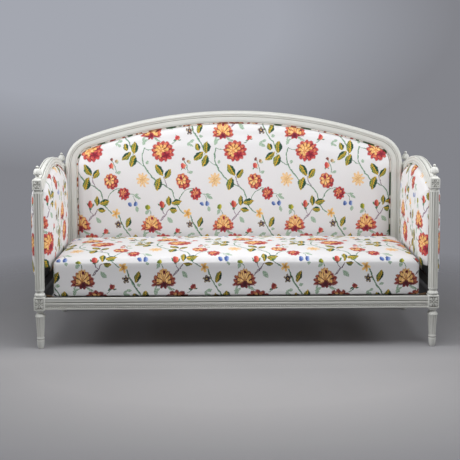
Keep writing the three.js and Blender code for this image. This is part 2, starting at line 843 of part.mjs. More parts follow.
function backRailTenon(side, clearance) {
  const inner = backHalfWidth - backFrameWidth;
  const low = backBottomZ + (backBottomRailHeight - backTenonHeight) / 2 - clearance;
  const deep = tenonThickness / 2 + clearance;
  const near = side * (inner - backTenonLength);
  const far = side * (inner + backTenonLength + clearance);
  return boxBetween(
    [Math.min(near, far), backCoreY - deep, low],
    [Math.max(near, far), backCoreY + deep, low + backTenonHeight + 2 * clearance],
  );
}

function backBottomRailSolid() {
  const half = backHalfWidth - backFrameWidth - fitGap;
  const front = backFrontY + backBottomRailSetback;
  const rail = boxBetween([-half, front, backBottomZ], [half, backRearY, backOpeningZ]);
  const holes = backScrewPlaces().map((x) => {
    return solidOf(moved(backScrewProfile(-cutOverrun, fitGap), x, backScrewY(), railBottom));
  });
  const whole = joined([solidOf(rail), ...[-1, 1].map((side) => solidOf(backRailTenon(side, 0)))]);
  return cutBy(whole, holes);
}

// The back's opening inside its frame, drawn in by an inset
function backOpening(inset, y) {
  const side = backHalfWidth - backFrameWidth - inset;
  const low = backOpeningZ + inset;
  const over = crestLine(backFrameWidth + inset).map(([x, z]) => new THREE.Vector3(x, y, z));
  return [new THREE.Vector3(-side, y, low), new THREE.Vector3(side, y, low), ...over];
}

// Upholstered panels: an outline with a crowned face, a core board behind it and piping round it

// A ring drawn in towards the middle of its own box, across its two wide directions
function shrunk(ring, share) {
  const middle = new THREE.Box3().setFromPoints(ring).getCenter(new THREE.Vector3());
  return ring.map((point) => middle.clone().lerp(point, share));
}

// Rings of a panel that stands on its board at start and rises over its edge to its crown
function crownedPanel(outlineAt, start, edge, crown) {
  const rings = [outlineAt(padInset, start)];
  const level = (share) => THREE.MathUtils.lerp(edge, crown, share);
  padRollShares.forEach(([widthShare, riseShare]) => {
    rings.push(outlineAt(padInset + widthShare * padRollWidth, level(riseShare)));
  });
  padCrownShares.forEach(([leftShare, riseShare]) => {
    rings.push(shrunk(outlineAt(padInset + padRollWidth, level(riseShare)), leftShare));
  });
  return loft(rings);
}

function pipingLoop(outlineAt, level) {
  const radius = pipingDiameter / 2;
  const rings = Array.from({ length: pipingFacets }, (unused, facet) => {
    const angle = (facet / pipingFacets) * 2 * Math.PI;
    return outlineAt(fitGap + radius + radius * Math.cos(angle), level + radius * Math.sin(angle));
  });
  return loft(rings, { looped: true });
}

function coreBoard(outlineAt, level) {
  const half = coreBoardThickness / 2;
  return loft([outlineAt(fitGap, level - half), outlineAt(fitGap, level + half)]);
}

// Stile and crest as plain bulk, with clearance, for fitting the arm pads round them
function backFrameBulk(side) {
  const low = Math.min(side * (backHalfWidth + fitGap), 0);
  const high = Math.max(side * (backHalfWidth + fitGap), 0);
  return boxBetween([low, backFrontY - fitGap, 0], [high, postY + lowerBlockWidth, crestApexZ]);
}

function armPieces(side, label) {
  const start = coreBoardThickness / 2 + fitGap;
  const pipingLevel = armThickness / 2 - armPipingRecess;
  const facing = (direction) => (inset, level) => armOpening(inset, direction * level);
  const pad = (direction, crown) => {
    const edge = crown * padEdgeShare;
    const panel = crownedPanel(facing(direction), start, edge, crown + start);
    return solidOf(panel.translate(side * postX, 0, 0));
  };
  const piping = (direction) => pipingLoop(facing(direction), pipingLevel);
  const frameBulk = solidOf(backFrameBulk(side));
  const place = (geometry) => geometry.translate(side * postX, 0, 0);
  return [
    ["arm_top_rail_" + label, place(geometryOf(armArchSolid())), paintedWood],
    ["arm_bottom_rail_" + label, place(geometryOf(armBottomRailSolid())), paintedWood],
    ["arm_core_board_" + label, place(coreBoard(facing(1), 0)), board],
    ["arm_inner_pad_" + label, geometryOf(pad(-side, armInnerCrown).subtract(frameBulk)), fabric],
    ["arm_outer_pad_" + label, geometryOf(pad(side, armOuterCrown)), fabric],
    ["arm_inner_piping_" + label, place(piping(-side)), fabric],
    ["arm_outer_piping_" + label, place(piping(side)), fabric],
  ];
}

function backPieces() {
  const start = coreBoardThickness / 2 + fitGap;
  const frontEdge = backCoreY - backFrontY - backRebateDepth;
  const frontCrown = backCoreY - backFrontY + backCrownProud;
  const rearEdge = backRearY - backCoreY - pipingProud;
  const rearCrown = backRearY - backCoreY + backRearProud;
  const facing = (direction) => (inset, level) => backOpening(inset, backCoreY + direction * level);
  const frontPiping = frontEdge + pipingProud;
  const rearPiping = backRearY - backCoreY - pipingDiameter / 2 + pipingProud;
  return [
    ["back_crest_rail", geometryOf(crestRailSolid()), paintedWood],
    ["back_stile_left", geometryOf(stileSolid(-1)), paintedWood],
    ["back_stile_right", geometryOf(stileSolid(1)), paintedWood],
    ["back_bottom_rail", geometryOf(backBottomRailSolid()), paintedWood],
    ["back_core_board", coreBoard(facing(-1), 0), board],
    ["back_pad", crownedPanel(facing(-1), start, frontEdge, frontCrown), fabric],
    ["back_outer_pad", crownedPanel(facing(1), start, rearEdge, rearCrown), fabric],
    ["back_piping", pipingLoop(facing(-1), frontPiping), fabric],
    ["back_outer_piping", pipingLoop(facing(1), rearPiping), fabric],
  ];
}

function backFasteners() {
  const dowels = [-1, 1].map((side) => {
    const place = backDowelPlace(side);
    const dowel = dowelGeometry(backDowelDiameter, backDowelLength);
    dowel.rotateZ(Math.PI / 2);
    const middle = place.x + side * (backDowelReach - backDowelLength / 2);
    dowel.translate(middle, place.y, place.z);
    return ["back_dowel_" + (side < 0 ? "left" : "right"), dowel, plainWood];
  });
  const screws = backScrewPlaces().map((x, index) => {
    const screw = moved(backScrewProfile(backScrewHeadSink, 0), x, backScrewY(), railBottom);
    return ["back_screw_" + (index + 1), screw, steel];
  });
  return [...dowels, ...screws];
}

// Loose seat cushion: a box with rounded corners, sides drawn in between them and a crowned top

function roundedOutline(halfLength, halfDepth, radius) {
  const points = [];
  [[1, -1, -0.5], [1, 1, 0], [-1, 1, 0.5], [-1, -1, 1]].forEach(([signX, signY, startTurn]) => {
    for (let step = 0; step <= cornerSteps; step += 1) {
      const angle = (startTurn + (0.5 * step) / cornerSteps) * Math.PI;
      points.push([
        signX * (halfLength - radius) + radius * Math.cos(angle),
        signY * (halfDepth - radius) + radius * Math.sin(angle),
      ]);
    }
  });
  return points;
}

// The outline with extra points along its long and short sides
function sidedOutline(halfLength, halfDepth, radius) {
  const corners = roundedOutline(halfLength, halfDepth, radius);
  const points = [];
  corners.forEach(([x, y], index) => {
    points.push([x, y]);
    const [nextX, nextY] = corners[(index + 1) % corners.length];
    if ((index + 1) % (cornerSteps + 1) !== 0) return;
    const longSide = Math.abs(nextX - x) > Math.abs(nextY - y);
    const pieces = longSide ? cushionLongPieces : cushionShortPieces;
    for (let piece = 1; piece < pieces; piece += 1) {
      const share = piece / pieces;
      points.push([THREE.MathUtils.lerp(x, nextX, share), THREE.MathUtils.lerp(y, nextY, share)]);
    }
  });
  return points;
}

function seatCushionGeometry() {
  const start = railTop + fitGap;
  const halfLength = postX - coreBoardThickness / 2 - fitGap - armInnerCrown - cushionEndClearance;
  const frontY = -(postY + lowerBlockWidth / 2 - railSetback - cushionFrontSetback);
  const backY = backFrontY - backCrownProud - cushionBackClearance;
  const halfDepth = (backY - frontY) / 2;
  const outline = sidedOutline(halfLength, halfDepth, cushionCornerRadius);
  const middleY = (backY + frontY) / 2;
  const sideTop = start + cushionSideHeight;
  const reach = (x, y) => {
    return (1 - (x / halfLength) ** 2) * (1 - (y / halfDepth) ** 2);
  };
  // A row at a height, drawn in by an inset all round and by a hollow that is deepest mid-side
  const row = (inset, draw, height) => outline.map(([x, y]) => {
    const alongX = Math.cos((Math.PI / 2) * (x / halfLength));
    const alongY = Math.cos((Math.PI / 2) * (y / halfDepth));
    const shareX = 1 - (inset + draw * alongY) / halfLength;
    const shareY = 1 - (inset + draw * alongX) / halfDepth;
    return new THREE.Vector3(x * shareX, middleY + y * shareY, height);
  });
  const crownRow = (share, edgeInset) => outline.map(([x, y]) => {
    const flatX = x * share * (1 - edgeInset / halfLength);
    const flatY = y * share * (1 - edgeInset / halfDepth);
    const height = sideTop + cushionCrown * reach(flatX, flatY) ** cushionCrownPower;
    return new THREE.Vector3(flatX, middleY + flatY, height);
  });
  const radius = cushionEdgeRadius;
  return loft([
    row(cushionFootRound, 0, start),
    row(0, cushionSideDraw / 2, start + cushionFootRound),
    row(0, cushionSideDraw, start + cushionSideHeight / 2),
    row(0, cushionSideDraw / 2, sideTop - radius),
    ...cushionEdgeShares.map(([inShare, downShare]) => {
      return row(radius * inShare, 0, sideTop - radius * downShare);
    }),
    ...cushionCrownShares.map((share) => crownRow(share, radius / 2)),
  ], { fanned: true });
}

// Slatted base: cleats on the long rails, slats between them and a brace in each corner

function seatBasePieces() {
  const slatTop = railTop;
  const slatZ = slatTop - slatThickness;
  const cleatZ = slatZ - fitGap - cleatHeight;
  const cleatHalf = railInnerX - braceLeg - 2 * fitGap;
  const frontInner = -railInnerY + fitGap;
  const rearInner = rearRailInnerY - fitGap;
  const pieces = [
    ["seat_cleat_front", [-cleatHalf, frontInner, cleatZ],
      [cleatHalf, frontInner + cleatWidth, cleatZ + cleatHeight]],
    ["seat_cleat_rear", [-cleatHalf, rearInner - cleatWidth, cleatZ],
      [cleatHalf, rearInner, cleatZ + cleatHeight]],
  ];
  const run = cleatHalf - slatEndMargin;
  for (let slat = 0; slat < slatCount; slat += 1) {
    const x = THREE.MathUtils.lerp(-run, run, slat / (slatCount - 1));
    pieces.push([
      "seat_slat_" + String(slat + 1).padStart(2, "0"),
      [x - slatWidth / 2, frontInner, slatZ],
      [x + slatWidth / 2, rearInner, slatTop],
    ]);
  }
  return pieces.map(([name, low, high]) => [name, boxBetween(low, high), plainWood]);
}

// A corner brace, notched round the post's block, in the corner given by its signs
function cornerBrace(signX, signY) {
  const innerY = signY < 0 ? railInnerY : rearRailInnerY;
  const notchX = railInnerX - (postX - lowerBlockWidth / 2) + fitGap;
  const notchY = Math.max(innerY - (postY - lowerBlockWidth / 2), 0) + fitGap;
  const outline = [
    [fitGap, braceLeg], [fitGap, notchY], [notchX, notchY], [notchX, fitGap], [braceLeg, fitGap],
  ];
  const lowZ = railBottom + tenonShoulder;
  return loft([lowZ, lowZ + braceHeight].map((z) => outline.map(([x, y]) => {
    return new THREE.Vector3(signX * (railInnerX - x), signY * (innerY - y), z);
  })));
}

function postPieces() {
  return [
    ["front_left", -1, -1],
    ["front_right", 1, -1],
    ["rear_left", -1, 1],
    ["rear_right", 1, 1],
  ].flatMap(([label, signX, signY]) => {
    const post = geometryOf(postSolid(signX, signY)).translate(signX * postX, signY * postY, 0);
    const finial = finialGeometry().translate(signX * postX, signY * postY, roofTop);
    return [
      ["post_" + label, post, paintedWood],
      ["finial_" + label, finial, paintedWood],
      ["corner_brace_" + label, cornerBrace(signX, signY), plainWood],
    ];
  });
}

function pieceMesh([name, geometry, material]) {
  const mesh = new THREE.Mesh(geometry, material);
  mesh.name = name;
  return mesh;
}

const sofa = new THREE.Group();
sofa.add(...seatRails());
[
  ...postPieces(),
  ...armPieces(-1, "left"),
  ...armPieces(1, "right"),
  ...backPieces(),
  ...backFasteners(),
  ["seat_cushion", seatCushionGeometry(), fabric],
  ...seatBasePieces(),
].forEach((piece) => sofa.add(pieceMesh(piece)));

export default sofa;
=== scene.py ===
# %% [markdown]
# # A painted sofa with arched arms and a floral cover
#
# The frame of this sofa is turned and moulded wood under pale paint. Its back, arms and loose seat
# cushion are padded and covered in a printed cotton with a trail of roses and peonies. The engineering
# model gives the places and sizes. Here the same pieces get their fine mouldings, carving, cloth and
# paint. We start by loading that model.

# %% Load the frame
import math

import bmesh
import bpy
import numpy as np
from mathutils import Matrix, Vector
from mathutils.bvhtree import BVHTree


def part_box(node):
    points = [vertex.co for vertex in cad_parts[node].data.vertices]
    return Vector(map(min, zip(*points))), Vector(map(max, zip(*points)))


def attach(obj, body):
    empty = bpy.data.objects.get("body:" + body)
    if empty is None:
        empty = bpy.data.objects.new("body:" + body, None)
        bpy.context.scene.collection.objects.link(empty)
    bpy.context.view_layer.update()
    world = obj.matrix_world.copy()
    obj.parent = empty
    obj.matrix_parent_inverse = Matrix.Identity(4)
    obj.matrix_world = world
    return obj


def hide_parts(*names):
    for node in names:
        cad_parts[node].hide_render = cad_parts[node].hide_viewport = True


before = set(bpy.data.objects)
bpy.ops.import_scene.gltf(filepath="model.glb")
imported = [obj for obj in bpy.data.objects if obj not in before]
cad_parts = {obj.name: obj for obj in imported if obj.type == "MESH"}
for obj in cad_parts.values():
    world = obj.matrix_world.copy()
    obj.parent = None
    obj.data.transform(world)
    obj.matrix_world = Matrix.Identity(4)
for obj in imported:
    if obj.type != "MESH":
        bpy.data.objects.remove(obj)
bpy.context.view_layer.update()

# %% [markdown]
# ## A few tools for modelling
#
# In Blender an operator acts on everything that is selected, so each step starts by letting go of all
# objects and taking up one. In edit mode we choose points or faces by where they are.

# %% Take up, let go and choose
def let_go():
    if bpy.context.mode != "OBJECT":
        bpy.ops.object.mode_set(mode="OBJECT")
    bpy.ops.object.select_all(action="DESELECT")


def take(piece):
    let_go()
    piece.select_set(True)
    bpy.context.view_layer.objects.active = piece


def edit(piece):
    take(piece)
    bpy.ops.object.mode_set(mode="EDIT")
    bpy.ops.mesh.select_mode(type="VERT")
    bpy.ops.mesh.select_all(action="SELECT")


def named(name):
    """Names the newest object and moves its place into its mesh."""
    bpy.ops.object.transform_apply(location=True, rotation=True, scale=True)
    piece = bpy.context.active_object
    piece.name = name
    piece.data.name = name
    return piece


def pick(piece, kind, test):
    """Selects points by their place, or faces by their middle and normal."""
    bpy.ops.mesh.select_mode(type=kind)
    bpy.ops.mesh.select_all(action="DESELECT")
    shape = bmesh.from_edit_mesh(piece.data)
    if kind == "VERT":
        chosen = [v for v in shape.verts if test(v.co)]
    else:
        chosen = [f for f in shape.faces if test(f.calc_center_median(), f.normal)]
    for item in chosen:
        item.select_set(True)
    shape.select_flush_mode()
    bmesh.update_edit_mesh(piece.data)


# %% [markdown]
# A line is one point that is extruded from place to place. A closed line can be filled with a face.
# A line that is spun about an axis gives turned work, just as the wood is cut on a lathe.

# %% Draw, fill, spin
SAME_PLACE = 0.00002


def draw_line(name, points):
    let_go()
    bpy.ops.mesh.primitive_plane_add(size=0.01, location=points[0])
    piece = named(name)
    edit(piece)
    bpy.ops.mesh.merge(type="CENTER")
    for here, there in zip(points, points[1:]):
        step = Vector(there) - Vector(here)
        bpy.ops.mesh.extrude_vertices_move(TRANSFORM_OT_translate={"value": step})
    return piece


def weld():
    """Merges points that lie on each other."""
    bpy.ops.mesh.select_all(action="SELECT")
    bpy.ops.mesh.remove_doubles(threshold=SAME_PLACE)


def tidy_shell():
    weld()
    bpy.ops.mesh.normals_make_consistent(inside=False)


def filled(name, points):
    """A flat face inside a closed line."""
    piece = draw_line(name, [*points, points[0]])
    weld()
    bpy.ops.mesh.edge_face_add()
    return piece


def turned(name, profile, steps):
    """Spins a profile of (radius, height) about the upright axis."""
    piece = draw_line(name, [(radius, 0, height) for radius, height in profile])
    bpy.ops.mesh.select_all(action="SELECT")
    bpy.ops.mesh.spin(steps=steps, angle=math.tau, center=(0, 0, 0), axis=(0, 0, 1))
    tidy_shell()
    let_go()
    return piece


def bowed(start, end, swell, steps):
    """Points from start to end that swell outwards between the two."""
    points = []
    for step in range(steps + 1):
        share = step / steps
        radius = start[0] + (end[0] - start[0]) * share + swell * math.sin(math.pi * share)
        points.append((radius, start[1] + (end[1] - start[1]) * share))
    return points


# %% [markdown]
# Some forms are easier to give by a rule than by hand: the rule says where each point of a simple mesh
# goes. Copies get their own mesh, so that each piece can be changed without touching the others.

# %% Reshape, copy, join
def points_of(piece):
    places = np.empty(len(piece.data.vertices) * 3)
    piece.data.vertices.foreach_get("co", places)
    return places.reshape(-1, 3)


def set_points(piece, places):
    piece.data.vertices.foreach_set("co", np.ascontiguousarray(places, float).ravel())
    piece.data.update()


def reshape(piece, rule):
    let_go()
    set_points(piece, rule(points_of(piece)))
    return piece


def face_outwards(piece):
    edit(piece)
    bpy.ops.mesh.normals_make_consistent(inside=False)
    let_go()


def copied(piece, name, shift=(0, 0, 0), turn=0.0, mirror=None):
    """A copy with its own mesh, turned about the upright axis, mirrored and moved."""
    twin = piece.copy()
    twin.data = piece.data.copy()
    twin.name = name
    twin.data.name = name
    bpy.context.scene.collection.objects.link(twin)
    change = Matrix.Translation(shift) @ Matrix.Rotation(turn, 4, "Z")
    if mirror:
        change = change @ Matrix.Diagonal((*mirror, 1))
    twin.data.transform(change)
    if mirror and mirror[0] * mirror[1] * mirror[2] < 0:
        face_outwards(twin)
    let_go()
    return twin


def joined(name, pieces):
    take(pieces[0])
    for piece in pieces[1:]:
        piece.select_set(True)
    bpy.context.view_layer.objects.active = pieces[0]
    bpy.ops.object.join()
    whole = bpy.context.active_object
    whole.name = name
    whole.data.name = name
    let_go()
    return whole


def apply_last(piece):
    take(piece)
    bpy.ops.object.modifier_apply(modifier=piece.modifiers[-1].name)


def smooth(piece, degrees):
    take(piece)
    bpy.ops.object.shade_smooth_by_angle(angle=math.radians(degrees))
    let_go()


# %% [markdown]
# The paint is made darker in its hollows, as painted shade. From each point of a piece we look
# out in a few directions; the more of them end on the piece itself close by, the deeper the hollow. The
# result is kept with the mesh, and the paint will read it.

# %% Mark points, find the hollows
JUST_OUTSIDE = 0.0003


def store(piece, name, values):
    """Keeps one number at each point, under a name that a material can read."""
    layer = piece.data.attributes.new(name, "FLOAT", "POINT")
    layer.data.foreach_set("value", np.asarray(values, np.float32))


def mark(piece, name, rule):
    """Keeps numbers that a rule works out from the places of all points."""
    store(piece, name, rule(points_of(piece)))


def outlooks(count):
    """Directions spread evenly over a ball."""
    found = []
    for index in range(count):
        z = 1 - 2 * (index + 0.5) / count
        turn = index * math.pi * (3 - math.sqrt(5))
        ring = math.sqrt(1 - z * z)
        found.append(Vector((ring * math.cos(turn), ring * math.sin(turn), z)))
    return found


def find_hollows(piece, reach, count):
    """Keeps at each point how much of the view outwards is closed within reach."""
    mesh = piece.data
    tree = BVHTree.FromPolygons([v.co for v in mesh.vertices], [f.vertices for f in mesh.polygons])
    looks = outlooks(count)
    shares = []
    for point in mesh.vertices:
        start = point.co + point.normal * JUST_OUTSIDE
        open_looks = [look for look in looks if look.dot(point.normal) > 0.15]
        hits = sum(1 for look in open_looks if tree.ray_cast(start, look, reach)[0] is not None)
        shares.append(hits / max(len(open_looks), 1))
    store(piece, "hollow", shares)
    print(piece.name, "has", sum(1 for share in shares if share > 0.5), "points in deep hollows")


# %% [markdown]
# ## Shader maths as plain expressions
#
# A procedural pattern is arithmetic on coordinates. The class Wire wraps a socket, so that a line of
# Python such as `1 - mask * 2` adds the Math nodes for it.

# %% Sockets that can be added and multiplied
def tone(code):
    """A colour code as linear light."""
    parts = [int(code[i : i + 2], 16) / 255 for i in (1, 3, 5)]
    linear = [p / 12.92 if p <= 0.04045 else ((p + 0.055) / 1.055) ** 2.4 for p in parts]
    return (*linear, 1.0)


class Wire:
    """The output of a node, in a tree that is being built."""

    def __init__(self, nodes, socket):
        self.nodes = nodes
        self.socket = socket

    def math(self, operation, *others, clamp=False, swap=False):
        values = [*others, self] if swap else [self, *others]
        settings = {"operation": operation, "use_clamp": clamp}
        return self.nodes.node("ShaderNodeMath", settings, dict(enumerate(values)))[0]

    def __add__(self, other):
        return self.math("ADD", other)

    def __sub__(self, other):
        return self.math("SUBTRACT", other)

    def __rsub__(self, other):
        return self.math("SUBTRACT", other, swap=True)

    def __mul__(self, other):
        return self.math("MULTIPLY", other)

    __radd__ = __add__
    __rmul__ = __mul__

    def size(self):
        return self.math("ABSOLUTE")

    def rise(self, sharpness):
        """Climbs above zero with that sharpness; a Mix node cuts it off at nought and at one."""
        return self.math("MULTIPLY", sharpness)

    def mask(self, sharpness):
        """The same, already cut off, for masks that are multiplied."""
        return self.math("MULTIPLY", sharpness, clamp=True)

    def lesser(self, other):
        return self.math("MINIMUM", other)

    def plus_product(self, factor, term):
        return self.math("MULTIPLY_ADD", factor, term)


# %% [markdown]
# Every other node comes from one method, which takes the kind of node, its settings and its inputs. The
# nodes that we need most often have a method of their own.

# %% Node trees
class Nodes:
    """A node tree that is being built."""

    def __init__(self, tree):
        self.tree = tree
        tree.nodes.clear()

    def node(self, kind, settings=None, inputs=None):
        """Adds a node, makes its settings, fills its inputs and gives back all its outputs."""
        made = self.tree.nodes.new(kind)
        for key, value in (settings or {}).items():
            if key == "stops":
                self.set_stops(made.color_ramp, value)
            else:
                setattr(made, key, value)
        for key, value in (inputs or {}).items():
            socket = made.inputs[key]
            if isinstance(value, Wire):
                self.tree.links.new(value.socket, socket)
            else:
                socket.default_value = value
        return [Wire(self, socket) for socket in made.outputs]

    def set_stops(self, ramp, stops):
        while len(ramp.elements) > 1:
            ramp.elements.remove(ramp.elements[-1])
        ramp.elements[0].position, ramp.elements[0].color = stops[0]
        for position, colour in stops[1:]:
            ramp.elements.new(position).color = colour

    def mix(self, share, low, high):
        inputs = {0: share, 6: low, 7: high}
        return self.node("ShaderNodeMix", {"data_type": "RGBA"}, inputs)[2]

    def ramp(self, value, stops):
        return self.node("ShaderNodeValToRGB", {"stops": stops}, {0: value})[0]

    def noise(self, vector, scale, detail=2.0, roughness=0.5):
        inputs = {"Vector": vector, "Scale": scale, "Detail": detail, "Roughness": roughness}
        return self.node("ShaderNodeTexNoise", {}, inputs)

    def vector(self, operation, *values):
        return self.node("ShaderNodeVectorMath", {"operation": operation}, dict(enumerate(values)))

    def parts(self, vector):
        return self.node("ShaderNodeSeparateXYZ", {}, {0: vector})

    def attribute(self, name):
        """A number that is kept with the mesh; it is nought where the mesh has none of that name."""
        return self.node("ShaderNodeAttribute", {"attribute_name": name})[2]

    def seen_directly(self):
        """One for what the camera, a reflection or a view through glass shows, nought for light."""
        rays = self.node("ShaderNodeLightPath")
        camera_ray, glossy_ray, through_glass = rays[0], rays[3], rays[6]
        return (camera_ray + glossy_ray + through_glass).mask(1.0)


# %% [markdown]
# A finish is the node tree of one material. It starts from a place on the object, and it ends in a
# principled shader with a bump for what is too fine to model.

# %% Materials
class Finish(Nodes):
    """A material that is being built."""

    def __init__(self, name):
        self.material = bpy.data.materials.new(name)
        self.material.use_nodes = True
        super().__init__(self.material.node_tree)
        self.output = self.tree.nodes.new("ShaderNodeOutputMaterial")

    def object_place(self):
        return self.node("ShaderNodeTexCoord")[3]

    def drawn_out(self, place, scale):
        return self.node("ShaderNodeMapping", {}, {"Vector": place, "Scale": scale})[0]

    def close(self, colour, roughness, height, depth, strength, **constants):
        """Ends a material: height is the relief for the bump, depth its size in metres."""
        bump = self.node("ShaderNodeBump", {}, {"Strength": strength, "Distance": depth, "Height": height})[0]
        inputs = {"Base Color": colour, "Roughness": roughness, "Normal": bump, **constants}
        shader = self.node("ShaderNodeBsdfPrincipled", {}, inputs)[0]
        self.tree.links.new(shader.socket, self.output.inputs[0])
        return self.material


# %% [markdown]
# ## The paint
#
# The wood is painted a warm pale grey, brushed by hand. Paint like this is never one flat colour: it is
# a little thinner on the edges, a little darker with dust in the hollows, and it shows the strokes of the
# brush. The deeper hollows are darkened further, as painted shade.
# Pointiness tells edges from hollows, and stretched noise gives the strokes. The inner faces of the
# rails, where no brush came, are unpainted wood, darkened nearly black as painted shade. On most rails
# these faces are marked with the mesh. The lower arm rails keep their engineering mesh, so there the place
# along the sofa tells.

# %% Painted wood
PALE_PAINT, GREY_PAINT = tone("#d9dad6"), tone("#d0d1cc")
# The tone for the hollows is painted shade.
# The tone for unpainted wood is darkened nearly black, as painted shade.
DUST, PAINTED_HOLLOW_SHADE, RUBBED, UNPAINTED_WOOD_SHADE = tone("#b9b8ae"), tone("#6f6d64"), tone("#c4baa8"), tone("#2a2521")


def painted_wood(name, unpainted_shade_within=None):
    """Paint on old wood; given a reach, all that lies nearer than that to the middle is unpainted wood,
    darkened nearly black as painted shade.
    """
    paint = Finish(name)
    place = paint.object_place()
    cloud = paint.noise(place, 7.0, 3.0)[0]
    stroke = paint.noise(paint.drawn_out(place, (60, 60, 260)), 1.0, 3.0)[0]
    speck = paint.noise(place, 420.0, 1.0)[0]
    pointiness = paint.node("ShaderNodeNewGeometry")[7]
    dusty = (0.497 - pointiness).mask(16.0)
    worn = (pointiness - 0.55).mask(9.0) * (speck + cloud - 0.74).mask(3.0)
    body = paint.mix(cloud, PALE_PAINT, GREY_PAINT)
    body = paint.mix(dusty * 0.4, body, DUST)
    # Painted shade: the paint darkens where much of the view out from a point is closed.
    body = paint.mix((paint.attribute("hollow") - 0.16).mask(1.5), body, PAINTED_HOLLOW_SHADE)
    body = paint.mix(worn * 0.28, body, RUBBED)
    # Beyond the paint the wood is darkened nearly black: painted shade.
    if unpainted_shade_within is None:
        bare = paint.attribute("raw")
    else:
        bare = (unpainted_shade_within - paint.parts(place)[0].size()).mask(600.0)
    body = paint.mix(bare, body, UNPAINTED_WOOD_SHADE)
    gloss = 0.42 + 0.14 * cloud
    return paint.close(body, gloss, stroke + speck * 0.5, 0.0004, 0.22)


paint = painted_wood("painted_wood")
paint_shaded_inside = painted_wood("painted_outside_shaded_inside", unpainted_shade_within=1.0162)
print("paint has", len(paint.node_tree.nodes), "nodes")

# %% [markdown]
# The inner wood, the board behind the padding and the screws are never painted. They only show when the
# sofa is turned over, but they still get their grain.

# %% Plain wood, board and steel
def grained(name, light, dark, scale):
    wood = Finish(name)
    place = wood.object_place()
    drawn = wood.drawn_out(place, scale)
    grain = wood.noise(drawn, 1.0, 5.0, 0.6)[0]
    fibre = wood.noise(drawn, 9.0, 2.0)[0]
    colour = wood.ramp(grain, [(0.3, tone(dark)), (0.62, tone(light))])
    return wood.close(colour, 0.62 + 0.15 * fibre, grain + fibre * 0.6, 0.0006, 0.3)


def dull_steel():
    steel = Finish("screw_steel")
    place = steel.object_place()
    cloud = steel.noise(place, 300.0, 3.0)[0]
    colour = steel.mix(cloud, tone("#8d8d89"), tone("#6f6e6a"))
    return steel.close(colour, 0.3 + 0.25 * cloud, cloud, 0.0002, 0.2, Metallic=1.0)


pine = grained("plain_wood", "#a58560", "#6f5236", (9, 60, 60))
board = grained("core_board", "#a98f6a", "#86683f", (40, 40, 40))
steel = dull_steel()

# %% [markdown]
# ## The printed cotton
#
# The cover is a printed cotton. A trail of vines climbs over an off-white ground, with round peonies,
# roses, small flowers, buds and leaves that are half mustard and half dark green. The whole drawing
# repeats every 0.41 m across and 0.535 m up. We draw one repeat in a table: places are in units
# of 0.732 mm from the heart of the lowest flower, so the table reads like a sheet of squared paper. A
# leaf has its middle, length, width, turn and kind; a stem its two ends, bend, width and kind; a bud its
# middle, half its width and height, its turn and two inks.

# %% One repeat of the trail
UNIT = 0.000732
REPEAT = (0.4112, 0.535)
SHEET_ORIGIN = (720, 880)

LEAVES = [
    (591, 291, 102, 62, 84, "leaf"), (523, 288, 62, 46, 110, "leaf"), (528, 358, 104, 54, 222, "leaf"),
    (579, 395, 106, 60, 68, "leaf"), (222, 468, 112, 58, 122, "leaf"), (289, 497, 92, 48, 238, "leaf"),
    (213, 576, 112, 64, 75, "leaf"), (295, 711, 88, 44, 92, "leaf"), (354, 720, 88, 54, 192, "leaf"),
    (327, 781, 68, 46, 172, "leaf"), (537, 877, 94, 46, 68, "leaf"), (303, 861, 64, 32, 128, "pale"),
    (606, 772, 46, 28, 98, "pale"), (685, 797, 50, 28, 60, "pale"), (476, 244, 44, 22, 20, "pale"),
    (452, 262, 38, 22, 75, "pale"), (470, 276, 40, 20, 150, "pale"), (690, 406, 34, 24, 80, "pale"),
    (612, 682, 58, 24, 155, "pale"), (600, 662, 46, 18, 10, "pale"), (548, 934, 34, 24, 20, "pale"),
    (664, 256, 42, 24, 60, "pale"), (466, 486, 40, 24, 30, "pale"), (460, 408, 28, 18, 40, "pale"),
    (672, 968, 60, 18, 28, "pale"), (664, 952, 50, 14, 62, "pale"), (768, 962, 56, 16, -20, "pale"),
    (222, 742, 44, 14, 128, "dark"), (258, 746, 44, 14, 62, "dark"), (240, 770, 34, 22, 90, "dark"),
    (398, 452, 30, 10, 60, "dark"), (420, 454, 28, 10, 120, "dark"), (905, 232, 30, 12, 30, "dark"),
    (356, 938, 34, 10, 100, "dark"), (378, 960, 32, 10, 10, "dark"), (470, 632, 40, 20, 50, "dark"),
]

STEMS = [
    ((352, 738), (412, 806), 5, 10, "vine"), ((465, 826), (548, 984), 10, 12, "vine"),
    ((548, 984), (578, 1056), 0, 10, "vine"), ((786, 240), (668, 294), -42, 9, "vine"),
    ((668, 294), (668, 432), 16, 11, "vine"), ((666, 428), (757, 552), 6, 12, "vine"),
    ((576, 336), (668, 432), 18, 7, "vine"), ((240, 578), (340, 696), -24, 11, "vine"),
    ((378, 696), (478, 610), -22, 8, "vine"), ((226, 868), (294, 776), 6, 8, "twig"),
    ((226, 868), (276, 816), -8, 7, "twig"), ((255, 518), (288, 602), 4, 7, "twig"),
    ((237, 762), (262, 818), 6, 7, "twig"), ((408, 378), (446, 492), -8, 7, "vine"),
    ((545, 655), (594, 668), -4, 6, "vine"), ((572, 668), (592, 716), -4, 5, "vine"),
    ((660, 982), (796, 972), -30, 8, "vine"), ((692, 772), (717, 814), -4, 6, "vine"),
    ((884, 258), (920, 226), 4, 6, "vine"), ((345, 975), (366, 950), 2, 6, "vine"),
]

BUDS = [
    (408, 433, 20, 25, 0, "#bf3b3c", "#e5836a"), (412, 383, 12, 14, 0, "#6b3038", "#a56a50"),
    (922, 216, 17, 20, -25, "#d8505a", "#f09a86"), (366, 948, 15, 19, -35, "#b03a3c", "#dd7a60"),
    (240, 736, 19, 30, 0, "#ab3236", "#e0765a"), (553, 734, 15, 21, 40, "#3f5a9c", "#7f97cc"),
    (596, 732, 17, 21, -8, "#3f5a9c", "#8aa0d2"), (690, 757, 20, 22, 0, "#6f7f24", "#b9b436"),
    (451, 398, 14, 13, 0, "#9a7a52", "#dcc49a"),
]


